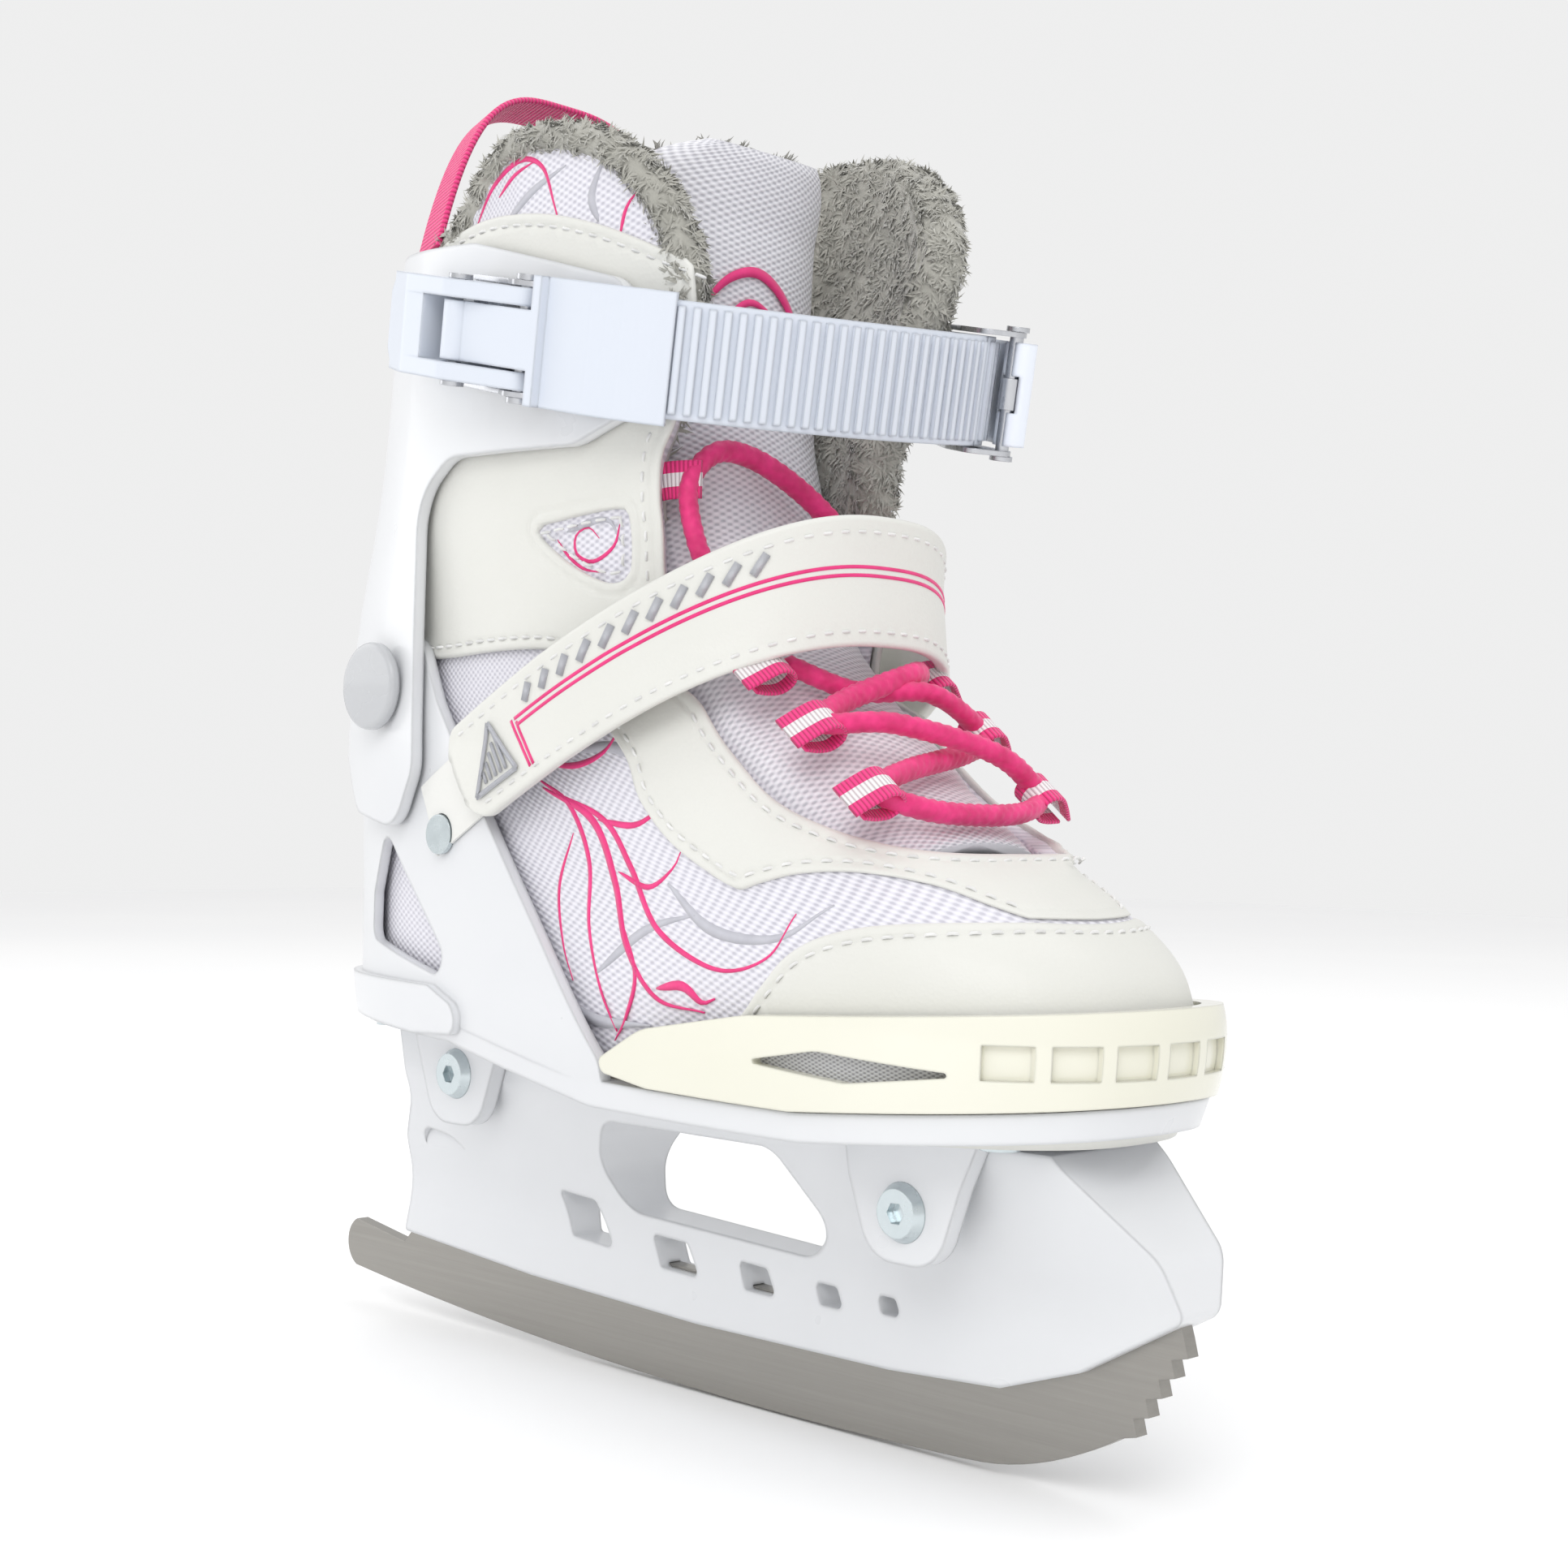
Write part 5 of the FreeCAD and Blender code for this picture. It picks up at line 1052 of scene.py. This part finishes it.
def ribbon(path, normal, widths, lift):
    """Thin printed line on a surface: verts and faces."""
    way = np.gradient(path, axis=0)
    way /= np.linalg.norm(way, axis=1, keepdims=True) + 1e-9
    side = np.cross(normal, way)
    w = np.asarray(widths)[:, None] / 2
    rise = normal * lift
    sink = normal * (lift - 0.35)
    rows = np.stack((path + side * w + sink, path + side * w + rise, path - side * w + rise,
                     path - side * w + sink), 1)
    verts = rows.reshape(-1, 3)
    faces = []
    for k in range(len(path) - 1):
        for m in range(3):
            a = 4 * k + m
            faces.append([a, a + 1, a + 5, a + 4])
        faces.append([4 * k + 3, 4 * k, 4 * k + 4, 4 * k + 7])
    faces.append([3, 2, 1, 0])
    faces.append([len(verts) - 4 + m for m in range(4)])
    return list(verts), faces


def prints(name, lines, material):
    verts, faces = joined(lines)
    return outward(mesh_object(name, verts, faces, LOOKS[material]))


def strap_line(points, width, lift=0.12, taper=False):
    dense = curve(points, 1.2) if len(points) > 2 else straight_run(points)
    path = on_strap(dense)
    normal = strap_normals(path, dense)
    share = np.linspace(0, 1, len(dense))
    return ribbon(path, normal, width * (np.sin(math.pi * np.clip(share, 0.04, 0.96)) ** 0.6 if taper
                                         else np.ones(len(dense))), lift)


def straight_run(points):
    a, b = np.array(points[0], float), np.array(points[1], float)
    count = max(int(np.linalg.norm(b - a) / 1.2), 2)
    return np.array([a + (b - a) * t for t in np.linspace(0, 1, count)])


last_run = float(STRAP_RUN[-1])
pink_lines = [strap_line([(25.0, w), (last_run - 70, w)], 0.75) for w in (1.6, 3.2)]
pink_lines += [strap_line([(24.0, -9.0), (25.3, 2.4)], 0.75), strap_line([(22.6, -9.0), (23.9, 3.4)], 0.75)]
strap_print = prints("strap_lines", pink_lines, "pink_print")
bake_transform(strap_print)
bars = [strap_line([(at, 5.0), (at + 3.0, 8.2)], 1.7, 0.5) for at in range(30, 96, 6)]
grip = [strap_line([(5.0, -7.5), (19.5, -7.5)], 1.1, 0.75), strap_line([(5.0, -7.5), (17.5, 6.5)], 1.1, 0.75),
        strap_line([(19.5, -7.5), (17.5, 6.5)], 1.1, 0.75)]
grip += [strap_line([(at, -5.8), (at + 0.4 * (at - 6.0) * 0.25, -5.8 + (at - 6.5) * 0.95)], 0.8, 0.6)
         for at in (9.4, 11.2, 13.0, 14.8, 16.6)]
bar_piece = prints("strap_bars", bars, "grip_print")
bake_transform(bar_piece)
grip_piece = prints("strap_grip_ribs", grip, "grip_print")
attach(grip_piece, "instep_flap")
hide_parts("strap_grip")


def strap_stitches(w):
    verts, faces = [], []
    for start in np.arange(6.0, last_run - 8, STITCH_PITCH):
        q = on_strap([(start + STITCH_LENGTH * t, w) for t in STITCH_SHARES])
        n = strap_frame(start, w, 5.0) - strap_frame(start, w, 3.0)
        n /= np.linalg.norm(n)
        way = q[-1] - q[0]
        side = np.cross(n, way / np.linalg.norm(way))
        thread(verts, faces, q, n, side, (-0.7, -0.1, 0.05, -0.1, -0.7))
    return verts, faces


strap_seams = [strap_stitches(w) for w in (-STRAP_HALF + 3.0, STRAP_HALF - 3.0)]
strap_thread = prints("strap_stitching", strap_seams, "thread")
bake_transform(strap_thread)


# -------------------------------------------------------------- printed art
def side_art(points, width, side=-1, step=1.2, grow=-1.2, lift=0.1):
    dense = curve(points, step)
    angle = np.array([side_angle(x, z, side) for x, z in dense])
    path, normal = surface_frame(angle, dense[:, 1], grow)
    share = np.linspace(0, 1, len(dense))
    return ribbon(path, normal, width * (0.18 + 0.82 * np.sin(math.pi * share ** 0.7) ** 1.2), lift)


FLOURISHES = (
    ([(-16, 140), (-4, 134), (4, 122), (5, 108), (9, 96), (15, 86)], 1.3),
    ([(-14, 138), (4, 131), (13, 118), (18, 104), (28, 94), (43, 92)], 1.9),
    ([(-10, 137), (8, 131), (18, 121), (28, 108), (46, 101), (60, 104), (66, 113)], 1.5),
    ([(-12, 143), (-2, 143), (6, 146), (10, 152)], 1.5),
    ([(6, 131), (18, 130), (25, 134), (27, 139)], 1.4),
    ([(14, 120), (24, 117), (31, 121), (33, 125)], 1.2),
    ([(17, 108), (21, 98), (18, 89), (14, 84)], 1.1),
    ([(28, 96), (36, 97), (42, 94), (46, 95)], 2.0),
    ([(-2, 128), (-6, 116), (-4, 104), (0, 96)], 0.9),
)
COLLAR_ART = (
    ([(-41, 268), (-34, 276), (-24, 280), (-16, 277), (-12, 268), (-10, 262)], 1.3),
    ([(-32, 273), (-26, 277), (-18, 279)], 1.0),
    ([(8, 258), (10, 264), (14, 268)], 0.9),
)
WINDOW_ART = (
    ([(6, 196), (4, 191), (-2, 188), (-7, 190), (-7, 194), (-3, 195.5), (0, 193)], 0.9),
    ([(-13, 193.5), (-10, 190), (-5, 186.6), (1, 185.4)], 0.8),
)
SHADOWS = (
    ([(-8, 146), (12, 146), (30, 134), (38, 126)], 2.6), ([(30, 118), (44, 109), (62, 108), (74, 115)], 2.4),
    ([(8, 98), (24, 108), (40, 112)], 2.2), ([(-4, 92), (8, 88), (26, 88)], 2.6),
    ([(-30, 266), (-20, 272), (-8, 276)], 2.0), ([(2, 262), (0, 268), (4, 276)], 2.2),
    ([(-10, 195), (2, 197), (6, 192)], 1.6),
)
for side, label in ((-1, "lateral"), (1, "medial")):
    art = [side_art(points, width, side) for points, width in FLOURISHES + WINDOW_ART + COLLAR_ART]
    piece = prints(label + "_flourishes", art, "pink_print")
    flexes(piece)
    shadows = [side_art(points, width, side, lift=0.05) for points, width in SHADOWS]
    shade = prints(label + "_print_shadows", shadows, "grey_print")
    flexes(shade)

tongue_strokes = [ribbon(*tongue_art(points, width), 0.75) for points, width in TONGUE_ART]
tongue_print = prints("tongue_flourish", tongue_strokes, "pink_print")
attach(tongue_print, "cuff")

# ---------------------------------------------------------------------- fur
RNG = np.random.default_rng(7)


def tufts(name, points, normals, length, width, lean, body="cuff"):
    """Pile of short tapered hairs that lie over in matted patches."""
    points, normals = np.asarray(points), np.asarray(normals)
    count = len(points)
    phase = (np.sin(points[:, 0] * 0.55 + np.sin(points[:, 2] * 0.35) * 1.7)
             + np.cos(points[:, 2] * 0.5 + points[:, 1] * 0.4))
    flow = np.stack((np.cos(phase * 2.1), np.sin(phase * 1.7), np.sin(phase * 2.6) - 0.35), 1)
    flow += RNG.normal(0, 0.45, (count, 3))
    flow -= normals * (flow * normals).sum(1, keepdims=True)
    flow /= np.linalg.norm(flow, axis=1, keepdims=True) + 1e-9
    size = length * RNG.uniform(0.6, 1.15, (count, 1))
    wide = np.cross(normals, flow) * (width * RNG.uniform(0.6, 1.2, (count, 1)) / 2)
    rise = normals * (1 - lean) + flow * lean
    root = points - normals * 0.4
    mid = root + rise * size * 0.55
    tip = root + rise * size * 0.8 + flow * size * 0.35 * lean
    verts = np.stack((root - wide, root + wide, mid + wide * 0.8, mid - wide * 0.8, tip), 1).reshape(-1, 3)
    faces = []
    for k in range(count):
        b = 5 * k
        faces.append([b, b + 1, b + 2, b + 3])
        faces.append([b + 3, b + 2, b + 4])
    piece = mesh_object(name, verts, faces, LOOKS["plush"])
    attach(piece, body)
    return piece


def scatter(made, density):
    """Random points and normals over a mesh object, in mm."""
    data = made.data
    data.calc_loop_triangles()
    co = np.array([v.co for v in data.vertices]) / MM
    tri = np.array([t.vertices for t in data.loop_triangles])
    a, b, c = co[tri[:, 0]], co[tri[:, 1]], co[tri[:, 2]]
    cross = np.cross(b - a, c - a)
    area = np.linalg.norm(cross, axis=1) / 2
    count = int(area.sum() * density)
    pick = RNG.choice(len(tri), count, p=area / area.sum())
    r1, r2 = np.sqrt(RNG.random(count)), RNG.random(count)
    p = a[pick] * (1 - r1)[:, None] + b[pick] * (r1 * (1 - r2))[:, None] + c[pick] * (r1 * r2)[:, None]
    return p, cross[pick] / (2 * area[pick])[:, None]


IN_COLLAR = np.minimum(IN_BOOT - 1.2, GRID_ZZ - 196.0)
lining = panel("collar_lining", IN_COLLAR, LOOKS["plush"], everywhere(-7.2),
               everywhere(-11.0), edge=1.0)
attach(lining, "cuff")
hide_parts("fur_collar")

collar_rim = np.array([p for p in RIM if p[1] > (226 if p[0] < 0 else 196)])
density = 1.5
rims = (("lateral", collar_rim[collar_rim[:, 0] < 0]), ("medial", collar_rim[collar_rim[:, 0] > 0]))
for label, part in rims:
    centre, normal = surface_frame(part[:, 0], part[:, 1], -5.2)
    way = np.gradient(centre, axis=0)
    way /= np.linalg.norm(way, axis=1, keepdims=True) + 1e-9
    inward = -np.cross(normal, way)
    centre = centre + inward * 2.2
    sections = []
    turns = np.arange(16) * math.pi / 8
    ends = np.minimum(np.arange(len(centre)), np.arange(len(centre))[::-1])
    for p, n, s, e in zip(centre, normal, inward, ends):
        r = 5.2 * min(1.0, 0.35 + e / 8.0)
        sections.append(p + np.outer(np.cos(turns) * r, n) + np.outer(np.sin(turns) * r * 0.8, s))
    roll = loft(label + "_collar_roll", sections, LOOKS["plush"])
    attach(roll, "cuff")
    p, n = scatter(roll, density)
    tufts(label + "_roll_pile", p, n, 4.6, 0.75, 0.62)

p, n = scatter(lining, density * 0.8)
inner = (n * (p - np.array((-30, 0, 0))) * np.array((1, 1, 0))).sum(1) < 0
tufts("lining_pile", p[inner], n[inner], 4.8, 0.85, 0.66)

# plush back of the tongue
p, n = scatter(tongue, 2.2)
top = (p[:, 2] > 215) & (n[:, 0] < -0.35)
tufts("tongue_pile", p[top], n[top], 4.4, 0.8, 0.6)


# ---------------------------------------------------------------- stage
def world(strength):
    made = bpy.data.worlds.new("studio")
    SCENE.world = made
    made.use_nodes = True
    made.node_tree.nodes["Background"].inputs["Color"].default_value = (1, 1, 1, 1)
    made.node_tree.nodes["Background"].inputs["Strength"].default_value = strength


def softbox(name, place, aim, size, power):
    data = bpy.data.lights.new(name, "AREA")
    data.shape = "RECTANGLE"
    data.size, data.size_y = size
    data.energy = power
    lamp = bpy.data.objects.new(name, data)
    SCENE.collection.objects.link(lamp)
    lamp.location = place
    lamp.rotation_euler = (Vector(aim) - Vector(place)).to_track_quat("-Z", "Y").to_euler()


SCENE.view_settings.view_transform = "Standard"
world(0.86)
softbox("key", (0.9, -1.3, 1.3), (0, 0, 0.14), (1.2, 1.0), 12)
softbox("left", (-1.3, -0.6, 0.8), (0, 0, 0.16), (0.8, 1.2), 4)
softbox("top", (0.0, 0.3, 1.7), (0, 0, 0.1), (1.4, 1.4), 6.5)

bpy.ops.mesh.primitive_plane_add(size=6, location=(0, 0, -0.0006))
floor = bpy.context.object
floor.name = "floor"
ground = Graph("ground", 0.8, (0.97, 0.97, 0.97))
ground.color(ground.ramp(ground.noise(2.0), ((0.3, (0.96, 0.96, 0.965)), (0.7, (0.98, 0.98, 0.98)))))
floor.data.materials.append(ground.mat)

camera_data = bpy.data.cameras.new("camera")
camera_data.sensor_width = 36.0
camera_data.lens = 52.556
camera = bpy.data.objects.new("camera", camera_data)
SCENE.collection.objects.link(camera)
right = Vector((0.7067927, 0.7072293, 0.0164581))
up = Vector((-0.0005038, -0.0227616, 0.9997408))
back = Vector((0.7074206, -0.7066178, -0.0157314))
camera.matrix_world = Matrix.Translation((0.3850726, -0.3634362, 0.1316100)) @ Matrix(
    (right, up, back)).transposed().to_4x4()
SCENE.camera = camera
